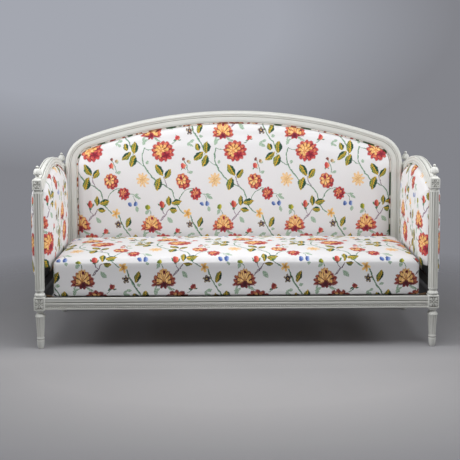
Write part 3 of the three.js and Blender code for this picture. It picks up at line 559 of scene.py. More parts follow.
# %% [markdown]
# Each motif is placed in its own square frame: the pattern's coordinates are wrapped round its middle,
# so that it comes back in every repeat, and then moved, turned and scaled until the motif is one unit
# wide. Two noises push the place about first, a slow one and a fine one, so that no outline is as even
# as if it were drawn with compasses; half of each push is taken off again by moving the motifs.

# %% The sheet and the frame of a motif
DRIFT, RAGGED = 0.014, 0.0078


class Print(Finish):
    def __init__(self, name):
        super().__init__(name)
        self.sheet = self.node("ShaderNodeUVMap", {"uv_map": "cloth"})[0]
        slow = self.noise(self.sheet, 36.0, 1.0)[1]
        fine = self.noise(self.sheet, 200.0, 1.0)[1]
        place = self.vector("MULTIPLY_ADD", slow, (DRIFT, DRIFT, 0.0), self.sheet)[0]
        self.place = self.vector("MULTIPLY_ADD", fine, (RAGGED, RAGGED, 0.0), place)[0]
        self.offset = (DRIFT + RAGGED) / 2
        self.grain = self.noise(self.sheet, 260.0, 2.0)[0]
        self.half_grain = self.grain * 0.5
        self.petal_grain = self.half_grain - 0.26
        self.leaf_grain = self.grain.plus_product(0.34, 0.33)
        self.bud_grain = self.grain - 0.3
        pale_stops = [(0.36, tone("#76957e")), (0.5, tone("#a0b8a3")), (0.62, tone("#bccdbb"))]
        self.pale_green = self.ramp(self.grain, pale_stops)
        self.deep_green = self.mix(self.grain, tone("#2f5c44"), tone("#5f8c68"))

    def near(self, x, y):
        """The place on the cloth, brought into the repeat round a motif, and the motif's middle."""
        middle = (
            (x - SHEET_ORIGIN[0]) * UNIT + self.offset,
            (SHEET_ORIGIN[1] - y) * UNIT + self.offset,
        )
        high = (middle[0] + REPEAT[0] / 2, middle[1] + REPEAT[1] / 2, 1)
        low = (middle[0] - REPEAT[0] / 2, middle[1] - REPEAT[1] / 2, -1)
        return self.vector("WRAP", self.place, high, low)[0], middle

    def seen_from(self, x, y, half_along, half_across, degrees):
        """How far along and across a turned motif a place lies; each is one at the motif's edge."""
        place, middle = self.near(x, y)
        off = self.vector("SUBTRACT", place, (*middle, 0))[0]
        turn = math.radians(degrees)
        cos, sin = math.cos(turn) / UNIT, math.sin(turn) / UNIT
        along = self.vector("DOT_PRODUCT", off, (cos / half_along, sin / half_along, 0))[1]
        across = self.vector("DOT_PRODUCT", off, (-sin / half_across, cos / half_across, 0))[1]
        return along, across


# %% [markdown]
# A leaf is a pointed oval in two inks, with small teeth where the light half meets the dark one. A stem
# is a slightly bent stroke with one darker side, and a bud is an oval that is lighter on one side.

# %% Leaves, stems and buds
VINE_INKS = tone("#7fa688"), tone("#38624a")
TWIG_INKS = tone("#a08a9c"), tone("#6b5a68")


class Trail(Print):
    def leaf(self, ground, x, y, length, width, degrees, kind):
        along, across = self.seen_from(x, y, length / 2, width / 2, degrees)
        bulge = (along * along).plus_product(-1.0, 1.0)
        inside = (bulge - across.size()).rise(8.0)
        if kind == "pale":
            return self.mix(inside, ground, self.pale_green)
        if kind == "dark":
            return self.mix(inside, ground, self.deep_green)
        teeth = along.math("PINGPONG", 0.15)
        place = across.plus_product(0.5, teeth.plus_product(0.8, self.leaf_grain) - 0.06)
        return self.mix(inside, ground, self.ramp(place, LEAF_INKS))

    def stem(self, ground, start, end, bend, width, kind):
        run = (end[0] - start[0], start[1] - end[1])
        length = math.hypot(*run)
        degrees = math.degrees(math.atan2(run[1], run[0]))
        middle = ((start[0] + end[0]) / 2, (start[1] + end[1]) / 2)
        along, across = self.seen_from(*middle, length / 2, width / 2, degrees)
        sag = 2 * bend / width
        off = across + (along * along).plus_product(-sag, sag)
        side = off.size()
        inside = (1.0 - side).rise(2.2).lesser((1.04 - along.size()).rise(30.0))
        ink = self.mix((off + 0.1).rise(2.5), *(VINE_INKS if kind == "vine" else TWIG_INKS))
        return self.mix(inside, ground, ink)

    def bud(self, ground, x, y, half_across, half_up, degrees, dark, light):
        across, up = self.seen_from(x, y, half_across, half_up, degrees)
        inside = (1.0 - up * up - across * across).rise(4.0)
        body = self.mix((across + self.bud_grain).rise(1.6), tone(dark), tone(light))
        return self.mix(inside, ground, body)


# %% [markdown]
# A flower is a pile of rings of petals. The angle round the centre, times the number of petals, tells
# which petal a place lies in, and how far to its side; the petals end sooner near their sides, which
# gives the notches of the rim.

# %% Flowers
class FloweringTrail(Trail):
    def petals(self, ground, spot, centre, stretch, count, turn, reach, depth, stops, crease, above):
        """One ring of petals round a centre, with a crease between each petal and the next.

        Depth is that of the notches between the petals. Above, if given, cuts off the lower petals.
        """
        move = (-centre[0] * stretch, -centre[1], 0)
        off = self.vector("MULTIPLY_ADD", spot, (stretch, 1, 0), move)[0]
        out = self.vector("LENGTH", off)[1]
        x, y = self.parts(off)[:2]
        angle = y.math("ARCTAN2", x)
        within = angle.plus_product(count / math.tau, turn).math("FRACT")
        side = (within - 0.5).size()
        edge = (side * side).plus_product(-4 * depth, reach)
        inside = (edge - out).rise(12.0 / reach)
        if above is not None:
            inside = inside.lesser((y - above).rise(9.0))
        shade = self.ramp(out.plus_product(1 / reach, self.petal_grain), stops)
        gap = (side.plus_product(2.0, self.half_grain) - 0.88).rise(4.4)
        return self.mix(inside, ground, self.mix(gap, shade, crease))

    def blossom(self, ground, x, y, half_across, half_up, rings):
        place, middle = self.near(x, y)
        scale = (1 / (half_across * UNIT), 1 / (half_up * UNIT), 0)
        move = (-middle[0] * scale[0], -middle[1] * scale[1], 0)
        spot = self.vector("MULTIPLY_ADD", place, scale, move)[0]
        for ring in rings:
            ground = self.petals(ground, spot, *ring)
        return ground


# %% [markdown]
# The flowers share a few inks. Reds sit on the outer petals and warm yellows on the inner ones, and a
# dark crease parts one petal from the next. The rings of a flower are given from the lowest to the
# highest, in a circle of radius one. The peony is round; the crown flower is a fan that rises from a cup.

# %% Inks and rings of petals
def inks(*stops):
    return [(place, tone(code)) for place, code in stops]


LEAF_INKS = inks(
    (0.0, "#17392e"), (0.30, "#1f4a35"), (0.38, "#4c7636"), (0.43, "#cfa62c"), (0.53, "#deb232"),
    (0.57, "#26543a"), (0.64, "#2f5d3a"), (0.69, "#c0a430"), (0.78, "#a3a236"), (0.85, "#3c6a3d"),
    (1.0, "#204c37"),
)
RIM = inks((0.3, "#701a2b"), (0.62, "#9e2838"), (0.84, "#c64c4a"), (1.0, "#942637"))
CORAL = inks((0.3, "#842035"), (0.68, "#bd4843"), (0.88, "#e48a5e"), (1.0, "#aa303d"))
GOLD = inks((0.1, "#c8703e"), (0.5, "#e0a459"), (0.85, "#edc47b"), (1.0, "#cc6a44"))
CREAM = inks((0.1, "#e49c50"), (0.6, "#f6d08e"), (1.0, "#ecae64"))
POCKET = inks((0.1, "#7c172c"), (0.55, "#ac2c3a"), (0.85, "#d05a56"), (1.0, "#e58a6a"))
WINE = inks((0.2, "#66162a"), (0.6, "#922536"), (0.9, "#b93f45"), (1.0, "#8c2838"))
ROSY = inks((0.1, "#dc8458"), (0.5, "#e59a68"), (0.85, "#d66c58"), (1.0, "#b83e46"))
SAND = inks((0.1, "#e2b57c"), (0.6, "#efcf9f"), (1.0, "#e4b67e"))
STAR = inks((0.1, "#c98a3a"), (0.4, "#ecba6a"), (1.0, "#f2cd86"))
DUSK = inks((0.1, "#cfae6c"), (0.3, "#3a2a38"), (0.55, "#5a4a60"), (0.7, "#d9c49c"), (0.8, "#2c2430"))
RED_LINE, BROWN_LINE, TAN_LINE, DUSK_LINE = tone("#6e142a"), tone("#b0443a"), tone("#c98f52"), tone("#2c2430")

# Each ring: centre, stretch, petals, turn, reach, depth of the notches, inks, crease, lower limit.
PEONY = [
    ((0.02, 0.0), 1.0, 13, 0.2, 1.0, 0.17, RIM, RED_LINE, None),
    ((-0.02, 0.04), 1.0, 10, 0.6, 0.80, 0.15, CORAL, RED_LINE, None),
    ((-0.08, 0.08), 1.05, 9, 0.1, 0.62, 0.16, GOLD, RED_LINE, None),
    ((-0.16, 0.02), 1.1, 6, 0.5, 0.38, 0.14, CREAM, BROWN_LINE, None),
    ((0.30, -0.36), 0.9, 5, 0.3, 0.40, 0.1, POCKET, RED_LINE, None),
]
CROWN = [
    ((0.0, -0.38), 0.9, 9, 0.35, 0.62, 0.20, WINE, RED_LINE, None),
    ((0.0, -0.48), 0.92, 15, 0.5, 1.04, 0.20, RIM, RED_LINE, -0.30),
    ((0.0, -0.44), 1.12, 15, 0.2, 1.10, 0.18, CORAL, RED_LINE, -0.24),
    ((0.0, -0.42), 1.75, 15, 0.5, 1.22, 0.18, GOLD, RED_LINE, -0.2),
    ((-0.02, -0.40), 2.4, 11, 0.2, 1.08, 0.18, CREAM, BROWN_LINE, -0.12),
    ((0.04, 0.40), 1.0, 4, 0.1, 0.16, 0.04, POCKET, RED_LINE, None),
    ((0.02, -0.60), 1.1, 6, 0.6, 0.34, 0.12, WINE, RED_LINE, None),
]
ROSE = [
    ((0.10, -0.12), 1.0, 8, 0.3, 0.9, 0.16, WINE, RED_LINE, None),
    ((-0.06, 0.06), 1.05, 8, 0.7, 0.86, 0.15, CORAL, RED_LINE, None),
    ((-0.12, 0.10), 1.1, 7, 0.2, 0.62, 0.16, CREAM, RED_LINE, None),
    ((-0.20, 0.36), 1.2, 4, 0.4, 0.30, 0.08, POCKET, RED_LINE, None),
]
SMALL_ROSE = [
    ((0.0, 0.0), 1.0, 9, 0.4, 1.0, 0.22, RIM, RED_LINE, None),
    ((-0.10, 0.08), 1.1, 6, 0.1, 0.66, 0.2, ROSY, RED_LINE, None),
    ((0.2, -0.34), 1.1, 4, 0.6, 0.42, 0.12, POCKET, RED_LINE, None),
]
CARNATION = [
    ((0.0, 0.0), 1.0, 9, 0.3, 1.0, 0.52, SAND, TAN_LINE, None),
    ((-0.05, 0.0), 1.0, 7, 0.6, 0.6, 0.3, SAND, TAN_LINE, None),
]
SMALL_STAR = [((0.0, 0.0), 1.0, 5, 0.55, 1.0, 0.7, STAR, TAN_LINE, None)]
DARK_STAR = [((0.0, 0.0), 1.0, 5, 0.2, 1.0, 0.5, DUSK, DUSK_LINE, None)]
BLOSSOMS = [
    (812, 320, 95, 87, PEONY), (720, 880, 77, 84, CROWN), (404, 552, 64, 70, ROSE),
    (507, 653, 48, 54, SMALL_ROSE), (654, 543, 54, 60, CARNATION),
    (440, 808, 34, 42, SMALL_STAR), (458, 893, 30, 32, DARK_STAR),
]


# %% [markdown]
# Now the cover: an off-white ground, the stems, leaves, buds and flowers in the order in which they lie
# over each other, and a fine weave for the bump. Two more things come from marks on the mesh, and both
# are painted shade. Where a pad runs down behind the cushion, the cotton is turned black, as the shade in
# the gap between cushion and arm. And on the sides of the cushion the darker inks are darkened further,
# while the top keeps them as printed.

# %% The printed cover
# Painted black shade for the gap between cushion and arm.
PAINTED_GAP_SHADE = tone("#1b1a1b")
THREADS = 380.0


def printed_cotton():
    cover = FloweringTrail("cover_fabric")
    cloth = cover.mix(cover.grain, tone("#e6e6e9"), tone("#dcdbdc"))
    for stem in STEMS:
        cloth = cover.stem(cloth, *stem)
    for leaf in LEAVES:
        cloth = cover.leaf(cloth, *leaf)
    for bud in BUDS:
        cloth = cover.bud(cloth, *bud)
    for blossom in BLOSSOMS:
        cloth = cover.blossom(cloth, *blossom)
    # Painted shade: low on the inner arm pads the cotton turns black.
    cloth = cover.mix(cover.attribute("lining"), cloth, PAINTED_GAP_SHADE)
    # Painted shade: on the cushion's sides the darker inks are darkened further.
    green = cover.node("ShaderNodeSeparateColor", {}, {0: cloth})[1]
    darkened = (0.62 - green).mask(1.09) * cover.attribute("unfaded")
    cloth = cover.node("ShaderNodeVectorMath", {"operation": "SCALE"}, {0: cloth, 3: 1.0 - darkened})[0]
    warp, weft = [
        cover.node(
            "ShaderNodeTexWave", {"wave_type": "BANDS", "bands_direction": direction},
            {"Vector": cover.sheet, "Scale": THREADS, "Distortion": 0.6},
        )[1]
        for direction in "XY"
    ]
    rough = 0.78 + 0.12 * cover.grain
    return cover.close(cloth, rough, warp * weft + cover.grain * 0.6, 0.0003, 0.35)


cotton = printed_cotton()
print("cover has", len(cotton.node_tree.nodes), "nodes")

# %% [markdown]
# The thin double piping is cut from the same cotton. On so narrow a strip the print breaks up into short
# runs of red, brown and green between the off-white ones.

# %% Piping cotton
def piping_cotton():
    strip = Finish("piping_fabric")
    place = strip.object_place()
    run = strip.noise(place, 13.0, 2.0)[0]
    fleck = strip.noise(place, 90.0, 2.0)[0]
    value = run + fleck * 0.16
    stops = [
        (0.0, tone("#2c4a34")), (0.47, tone("#3f5a3a")), (0.5, tone("#e9e4dc")), (0.60, tone("#ece6df")),
        (0.62, tone("#a8433a")), (0.68, tone("#7e3330")), (0.7, tone("#c98f4e")), (0.74, tone("#ebe4da")),
    ]
    cord = strip.node(
        "ShaderNodeTexWave", {"wave_type": "BANDS", "bands_direction": "DIAGONAL"},
        {"Vector": place, "Scale": 160.0},
    )[1]
    # Painted shade: the cords low on the inner arm pads turn black.
    cloth = strip.mix(strip.attribute("lining"), strip.ramp(value, stops), PAINTED_GAP_SHADE)
    return strip.close(cloth, 0.8 + 0.1 * fleck, cord + fleck, 0.0003, 0.35)


piping_cloth = piping_cotton()

# %% [markdown]
# ## Finishing a piece
#
# Every finished piece gets its material, rides on the one body of the sofa and hides the piece of the
# engineering model that it stands for.

# %% Finish a piece
def set_material(piece, material):
    piece.data.materials.clear()
    piece.data.materials.append(material)


def finish_piece(piece, material, node):
    set_material(piece, material)
    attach(piece, "root")
    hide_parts(node)
    return piece


finial_low, finial_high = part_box("finial_front_right")
post_middle = (finial_low + finial_high) / 2
POST_X, POST_Y = post_middle.x, abs(post_middle.y)
RAIL_LOW, RAIL_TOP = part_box("front_rail")[0].z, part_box("front_rail")[1].z
print("post axes at", round(POST_X, 4), round(POST_Y, 4))
print("seat rails from", round(RAIL_LOW, 4), "to", round(RAIL_TOP, 4))

# %% [markdown]
# ## The legs and columns
#
# Each corner of the sofa is one turned post: a peg foot, a fluted tapering leg, a square block that takes
# the seat rails, a fluted column, and a smaller block under the finial. The turner's work is spun here
# too: half of the outline, as radius and height above the floor, goes once round the axis.

# %% Turned parts of a post
LEG_SHAFT, LEG_TOP = 0.0595, 0.1655
LOW_BLOCK, LOW_BLOCK_TOP = 0.200, 0.268
COLUMN, COLUMN_TOP, COLUMN_RADIUS = 0.299, 0.803, 0.024
HIGH_BLOCK, HIGH_BLOCK_TOP = 0.814, 0.866


def leg_profile():
    foot = [(0.0, 0.0), (0.0122, 0.0), *bowed((0.0138, 0.0016), (0.0190, 0.037), 0.0012, 7)]
    foot += [(0.0196, 0.0408), (0.0194, 0.0438), (0.0182, 0.0456), (0.0164, 0.0462)]
    ring = [(0.0156, 0.0472), (0.0156, 0.0492), *bowed((0.0178, 0.0498), (0.0178, 0.0584), 0.0022, 6)]
    shaft = [(0.0172, 0.0590), *bowed((0.0175, LEG_SHAFT + 0.001), (0.0242, LEG_TOP - 0.001), 0.0, 6)]
    cap = [(0.0260, LEG_TOP), (0.0264, 0.1676), *bowed((0.0256, 0.1688), (0.0162, 0.1826), 0.0022, 6)]
    neck = [(0.0152, 0.1836), (0.0152, 0.1880), (0.0166, 0.1896)]
    collar = [*bowed((0.0186, 0.190), (0.0226, 0.1980), 0.0016, 5), (0.0232, 0.1990)]
    end = [(0.0232, LOW_BLOCK + 0.0006), (0.0, LOW_BLOCK + 0.0006)]
    return [*foot, *ring, *shaft, *cap, *neck, *collar, *end]


def column_profile():
    return [
        (0.0, LOW_BLOCK_TOP - 0.0006), (0.0222, LOW_BLOCK_TOP - 0.0006),
        *bowed((0.0232, 0.2685), (0.0228, 0.2862), 0.0044, 9),
        (0.0206, 0.2874), (0.0198, 0.2890), (0.0198, 0.2962), (0.0212, 0.2976),
        (0.0236, COLUMN - 0.0008), (COLUMN_RADIUS, COLUMN + 0.0004), (COLUMN_RADIUS, COLUMN + 0.012),
        (COLUMN_RADIUS, COLUMN_TOP - 0.012), (COLUMN_RADIUS, COLUMN_TOP), (0.0208, COLUMN_TOP + 0.0008),
        *bowed((0.0206, 0.8048), (0.0206, 0.8082), 0.0016, 4),
        *bowed((0.0212, 0.809), (0.0242, HIGH_BLOCK + 0.0006), -0.0008, 4), (0.0, HIGH_BLOCK + 0.0006),
    ]


# %% [markdown]
# Twelve flutes run down each leg and each column. A gouge leaves a round end in the wood, so we cut with
# rods that have round ends, all at once, and lean them as much as the leg tapers.

# %% Flutes cut with round-ended rods
def flute_rod(radius, low, high):
    """A rod with round ends, standing on the axis of its flute."""
    let_go()
    bpy.ops.mesh.primitive_uv_sphere_add(segments=12, ring_count=8, radius=radius, location=(0, 0, low))
    rod = named("flute_rod")
    edit(rod)
    pick(rod, "VERT", lambda place: place.z > low + radius * 0.05)
    bpy.ops.transform.translate(value=(0, 0, high - low))
    return rod


def cut_flutes(piece, count, rod_radius, sink, low, high):
    """Low and high are (radius of the shaft, height) at the two ends of the flutes."""
    rods = []
    rod = flute_rod(rod_radius, 0.0, high[1] - low[1])
    lean = math.atan2(high[0] - low[0], high[1] - low[1])
    for index in range(count):
        twin = copied(rod, "flute_cut")
        out = low[0] + rod_radius - sink
        twin.data.transform(
            Matrix.Rotation(index * math.tau / count, 4, "Z")
            @ Matrix.Translation((out, 0, low[1]))
            @ Matrix.Rotation(lean, 4, "Y")
        )
        rods.append(twin)
    bpy.data.objects.remove(rod)
    cutter = joined("flute_cuts", rods)
    take(piece)
    bpy.ops.object.modifier_add(type="BOOLEAN")
    piece.modifiers[-1].operation = "DIFFERENCE"
    piece.modifiers[-1].object = cutter
    apply_last(piece)
    bpy.data.objects.remove(cutter)


leg = turned("leg", leg_profile(), 64)
cut_flutes(leg, 12, 0.0042, 0.0019, (0.0177, 0.066), (0.0240, 0.160))
column = turned("column", column_profile(), 64)
cut_flutes(column, 12, 0.0046, 0.0028, (COLUMN_RADIUS, 0.309), (COLUMN_RADIUS, 0.793))
print("leg", len(leg.data.polygons), "faces, column", len(column.data.polygons), "faces")

# %% [markdown]
# ## Blocks and rosettes
#
# The faces of the blocks have a sunk square panel with a carved flower. A cube gets eased edges, and
# then insets that go inwards, step by step, on the two faces that look away from the sofa.

# %% A block with two sunk panels
BLOCK, UPPER_BLOCK = 0.056, 0.050
PANEL_BORDER, PANEL_FLOOR, FLOWER_BORDER = 0.0034, 0.0036, 0.0042


def sunk_block(name, width, low, high):
    let_go()
    place, size = (0, 0, (low + high) / 2), (width, width, high - low)
    bpy.ops.mesh.primitive_cube_add(size=1, location=place, scale=size)
    block = named(name)
    edit(block)
    bpy.ops.mesh.bevel(offset=0.0028, segments=3, affect="EDGES")
    for axis, sign in ((0, 1), (1, -1)):
        def faces_out(middle, normal):
            return normal[axis] * sign > 0.99 and middle[axis] * sign > 0.4 * width

        pick(block, "FACE", faces_out)
        bpy.ops.mesh.inset(thickness=PANEL_BORDER, depth=0)
        bpy.ops.mesh.inset(thickness=0.0004, depth=0.0)
        bpy.ops.mesh.inset(thickness=0.0010, depth=-0.0020)
        bpy.ops.mesh.inset(thickness=0.0006, depth=-0.0016)
    return block


# %% [markdown]
# The flower is carved out of the sunk ground: four larger leaves towards the corners, four smaller ones
# between them and a button in the middle. A leaf is a flattened ball with a crease along it.

# %% Carved flowers
def carved_leaf(length, width, relief, out, turn):
    """A leaf with a crease along its middle, lying on the plane x = 0 at a distance from its centre."""
    let_go()
    bpy.ops.mesh.primitive_uv_sphere_add(segments=16, ring_count=10, radius=1.0)
    leaf = named("carved_leaf")

    def rule(places):
        x, y, z = places.T
        crease = 0.35 + 0.65 * np.clip(np.abs(z) / 0.4, 0, 1)
        narrow = np.where(y < 0, 0.62, 1.0)
        return np.column_stack([x * relief * crease, y * length, z * width * narrow])

    reshape(leaf, rule)
    place = (0, math.cos(turn) * out, math.sin(turn) * out)
    leaf.data.transform(Matrix.Translation(place) @ Matrix.Rotation(turn, 4, "X"))
    return leaf


def petal_flower(name, half):
    petals = []
    for index in range(4):
        corner, side = math.pi / 4 + index * math.pi / 2, index * math.pi / 2
        petals.append(carved_leaf(half * 0.60, half * 0.38, 0.0050, half * 0.74, corner))
        petals.append(carved_leaf(half * 0.40, half * 0.20, 0.0040, half * 0.60, side))
    let_go()
    bpy.ops.mesh.primitive_uv_sphere_add(segments=16, ring_count=8, radius=1.0)
    button = named("button")
    edit(button)
    bpy.ops.transform.resize(value=(0.0050, half * 0.19, half * 0.19))
    petals.append(button)
    return joined(name, petals)


def carved_block(name, width, low, high):
    block = sunk_block(name, width, low, high)
    flower = petal_flower("flower", width / 2 - FLOWER_BORDER)
    floor, height = width / 2 - PANEL_FLOOR, (low + high) / 2
    outwards = copied(flower, "flower_out", (floor, 0, height))
    endwards = copied(flower, "flower_end", (0, -floor, height), -math.pi / 2)
    bpy.data.objects.remove(flower)
    return joined(name, [block, outwards, endwards])


low_block = carved_block("low_block", BLOCK, LOW_BLOCK, LOW_BLOCK_TOP)
high_block = carved_block("high_block", UPPER_BLOCK, HIGH_BLOCK, HIGH_BLOCK_TOP)

# %% [markdown]
# A low hollow-sided roof closes the upper block. It is a square that is extruded and drawn in by steps.

# The five parts make one post, and the post is copied and mirrored to the four corners.

# %% The roof of a post
def roof():
    let_go()
    bpy.ops.mesh.primitive_cube_add(size=1, location=(0, 0, HIGH_BLOCK_TOP), scale=(0.047, 0.047, 0.0012))
    piece = named("roof")
    edit(piece)
    for lift, share in ((0.0016, 0.86), (0.0016, 0.86), (0.0022, 0.9), (0.003, 0.9)):
        pick(piece, "FACE", lambda middle, normal: normal.z > 0.9)
        bpy.ops.mesh.extrude_region_move(TRANSFORM_OT_translate={"value": (0, 0, lift)})
        bpy.ops.transform.resize(value=(share, share, 1))
    let_go()
    return piece


post = joined("post", [leg, low_block, column, high_block, roof()])
find_hollows(post, 0.009, 18)
smooth(post, 38)
low, high = post.bound_box[0][2], post.bound_box[1][2]
print("post from", round(low, 4), "to", round(high, 4))

CORNERS = {"front_left": (-1, 1), "front_right": (1, 1), "rear_left": (-1, -1), "rear_right": (1, -1)}
for corner, (side, end) in CORNERS.items():
    twin = copied(post, "painted_post_" + corner, (side * POST_X, -end * POST_Y, 0), 0.0, (side, end, 1))
    smooth(twin, 38)
    finish_piece(twin, paint, "post_" + corner)
bpy.data.objects.remove(post)

# %% [markdown]
# ## The finials
#
# A turned ball with shallow gadroons stands on each post, with a thin neck below it and a small knob on
# top. The ball is no sphere but an onion, nearly flat below and long above. After the spin, every fourth
# meridian of the ball is drawn in a little to part the gadroons.

# %% Finials
FINIAL_BASE = finial_high.z - 0.062
BALL_ANGLES = [math.radians(-78 + 8 * step) for step in range(20)]
BALL_LEVEL, BALL_RADIUS, BALL_DROP, BALL_RISE = 0.0215, 0.0212, 0.0102, 0.0268


def ball_point(angle):
    """The ball is an onion: nearly flat below, long and round above."""
    tall = BALL_DROP if angle < 0 else BALL_RISE
    return BALL_RADIUS * math.cos(angle) ** 0.8, FINIAL_BASE + BALL_LEVEL + tall * math.sin(angle)


def finial():
    z = FINIAL_BASE
    profile = [
        (0.0, z - 0.002), (0.0105, z - 0.002), (0.0108, z + 0.001), (0.0092, z + 0.0022),
        *bowed((0.0068, z + 0.004), (0.0068, z + 0.0090), -0.0006, 4), (0.0070, z + 0.0105),
        *[ball_point(a) for a in BALL_ANGLES],
        (0.0044, z + 0.0482), (0.0044, z + 0.0496),
        *bowed((0.0056, z + 0.05), (0.0012, z + 0.0614), 0.0044, 8), (0.0, z + 0.062),
    ]
    piece = turned("finial", profile, 48)
    edit(piece)

    def on_groove(place):
        reach = math.hypot(place.x, place.y)
        turn = math.atan2(place.y, place.x) / (math.tau / 48)
        on_ball = z + 0.0122 < place.z < z + 0.0462
        return on_ball and reach > 0.008 and round(turn) % 4 == 0

    pick(piece, "VERT", on_groove)
    bpy.ops.transform.resize(value=(0.93, 0.93, 1), center_override=(0, 0, z + 0.03))
    let_go()
    return piece


ball = finial()
find_hollows(ball, 0.010, 30)
for corner, (side, end) in CORNERS.items():
    twin = copied(ball, "painted_finial_" + corner, (side * POST_X, -end * POST_Y, 0))
    smooth(twin, 50)
    finish_piece(twin, paint, "finial_" + corner)
bpy.data.objects.remove(ball)
print("finials from", round(FINIAL_BASE, 4), "to", round(finial_high.z, 4))

# %% [markdown]
# ## The seat rails
#
# The front and side rails are moulded boards: a flat band on top, a groove with a small fillet, a row of
# turned pearls in a shallow hollow, and a plain band below. The section is drawn as a closed line of
# depths and heights, filled, and extruded to the length of the rail. The pearls are one small ball,
# repeated with an array. The paint ends just over the top edge; behind it, where the cushion hides the
# unpainted wood, that wood is darkened nearly black as painted shade.

# %% Moulded rails
RAIL_SECTION = [
    (0.0336, 0.0024), (0.0024, 0.0024), (0.0010, 0.0030), (0.0006, 0.0040), (0.0006, 0.0082),
    (0.0012, 0.0088), (0.0044, 0.0092), (0.0054, 0.0104), (0.0054, 0.0218), (0.0044, 0.0228),
    (0.0012, 0.0232),
    (0.0006, 0.0240), (0.0006, 0.0342), (0.0014, 0.0350), (0.0078, 0.0355), (0.0088, 0.0366),
    (0.0088, 0.0398), (0.0078, 0.0410), (0.0028, 0.0416), (0.0020, 0.0424), (0.0016, 0.0540),
    (0.0010, 0.0560), (0.0007, 0.0590), (0.0010, 0.0618), (0.0020, 0.0628), (0.0034, 0.063), (0.0048, 0.063),
    (0.0062, 0.063), (0.0094, 0.063), (0.0110, 0.063), (0.0336, 0.063),
]


def moulded_rail(name, length, face_out):
    """A rail along X whose outer face looks along -Y, at that distance from the middle."""
    half = length / 2
    points = [(-half, depth - face_out, RAIL_LOW + height) for depth, height in RAIL_SECTION]
    rail = filled(name, points)
    for step in range(16):
        bpy.ops.mesh.extrude_region_move(TRANSFORM_OT_translate={"value": (length / 16, 0, 0)})
    tidy_shell()
    let_go()
    return rail


PEARL_RADIUS, PEARL_PITCH, PEARL_DEPTH, PEARL_HEIGHT = 0.0044, 0.0098, 0.0046, 0.0160


def pearls(name, length, face_out):
    count = int((length - 0.02) / PEARL_PITCH)
    start = (-PEARL_PITCH * (count - 1) / 2, PEARL_DEPTH - face_out, RAIL_LOW + PEARL_HEIGHT)
    let_go()
    bpy.ops.mesh.primitive_uv_sphere_add(segments=8, ring_count=6, radius=PEARL_RADIUS, location=start)
    row = named(name)
    take(row)
    bpy.ops.object.modifier_add(type="ARRAY")
    array = row.modifiers[-1]
    array.count = count
    array.use_relative_offset = False
    array.use_constant_offset = True
    array.constant_offset_displace = (PEARL_PITCH, 0, 0)
    apply_last(row)
    return row


def seat_rail(node, length, face_out, turn, painted):
    """Painted is the depth, behind the outer face, to which the top of the rail has paint."""
    rail = moulded_rail("rail", length, face_out)
    find_hollows(rail, 0.006, 20)
    row = pearls("pearls", length, face_out)
    whole = joined("painted_" + node, [rail, row])
    # Behind the painted strip the rail is marked for unpainted wood, darkened nearly black as painted shade.
    mark(whole, "raw", lambda places: np.clip((places[:, 1] + face_out - painted) / 0.0014, 0, 1))
    whole.data.transform(Matrix.Rotation(turn, 4, "Z"))
    smooth(whole, 40)
    finish_piece(whole, paint, node)


TO_FACE = BLOCK / 2 - 0.004
LONG_RAIL, SHORT_RAIL = 2 * POST_X - BLOCK + 0.001, 2 * POST_Y - BLOCK + 0.001
seat_rail("front_rail", LONG_RAIL, POST_Y + TO_FACE, 0.0, 0.0094)
seat_rail("side_rail_right", SHORT_RAIL, POST_X + TO_FACE, math.pi / 2, 0.0048)
seat_rail("side_rail_left", SHORT_RAIL, POST_X + TO_FACE, -math.pi / 2, 0.0048)
print("front rail", round(LONG_RAIL, 4), "long, side rails", round(SHORT_RAIL, 4))

# %% [markdown]
# ## The arched arm rails
#
# Each arm has an arched top rail between its two posts, thinner over the middle of the arch. We draw the
# moulded section, extrude it in many short steps, and then let a rule lay the straight bar on the arch.

# %% Arched arm rails
ARM_SECTION = [
    (0.0, 0.02), (0.62, 0.0), (0.97, 0.0), (1.0, 0.04), (1.0, 0.15), (0.96, 0.19), (0.87, 0.21),
    (0.85, 0.25), (0.88, 0.29), (0.95, 0.36), (0.97, 0.45), (0.94, 0.55), (0.87, 0.62), (0.80, 0.66),
    (0.79, 0.70),
    (0.84, 0.74), (0.87, 0.80), (0.85, 0.87), (0.78, 0.93), (0.68, 0.955), (0.60, 0.94), (0.55, 0.90),
    (0.52, 0.84), (0.46, 0.83), (0.43, 0.88), (0.38, 0.95), (0.28, 0.985), (0.12, 1.0), (0.0, 1.0),
]
ARM_HALF_SPAN = POST_Y - 0.025 + 0.0006
ARM_HALF_THICK = 0.025
ARM_SPRING, ARM_RISE = 0.811, 0.091
TOP_SPRING, TOP_RISE = 0.863, 0.079


def arch_height(y, spring, rise):
    radius = (ARM_HALF_SPAN**2 + rise**2) / (2 * rise)
    return spring + rise - radius + np.sqrt(radius**2 - y**2)


def arm_rail(name):
    half = ARM_SECTION[1:-1]
    outline = [*[(-out, up) for out, up in half], *[(out, up) for out, up in reversed(half)]]
    rail = filled(name, [(out * ARM_HALF_THICK, -ARM_HALF_SPAN, up) for out, up in outline])
    steps = 40
    for step in range(steps):
        bpy.ops.mesh.extrude_region_move(TRANSFORM_OT_translate={"value": (0, 2 * ARM_HALF_SPAN / steps, 0)})
    tidy_shell()

    def rule(places):
        x, y, up = places.T
        low = arch_height(y, ARM_SPRING, ARM_RISE)
        top = arch_height(y, TOP_SPRING, TOP_RISE)
        return np.column_stack([x, y, low + up * (top - low)])

    return reshape(rail, rule)


arch = arm_rail("arm_rail")
find_hollows(arch, 0.006, 20)
for label, side in (("left", -1), ("right", 1)):
    twin = copied(arch, "painted_arm_top_rail_" + label, (side * POST_X, 0, 0))
    smooth(twin, 36)
    finish_piece(twin, paint, "arm_top_rail_" + label)
bpy.data.objects.remove(arch)
print("arm rails span", round(2 * ARM_HALF_SPAN, 4), "and rise", ARM_RISE)

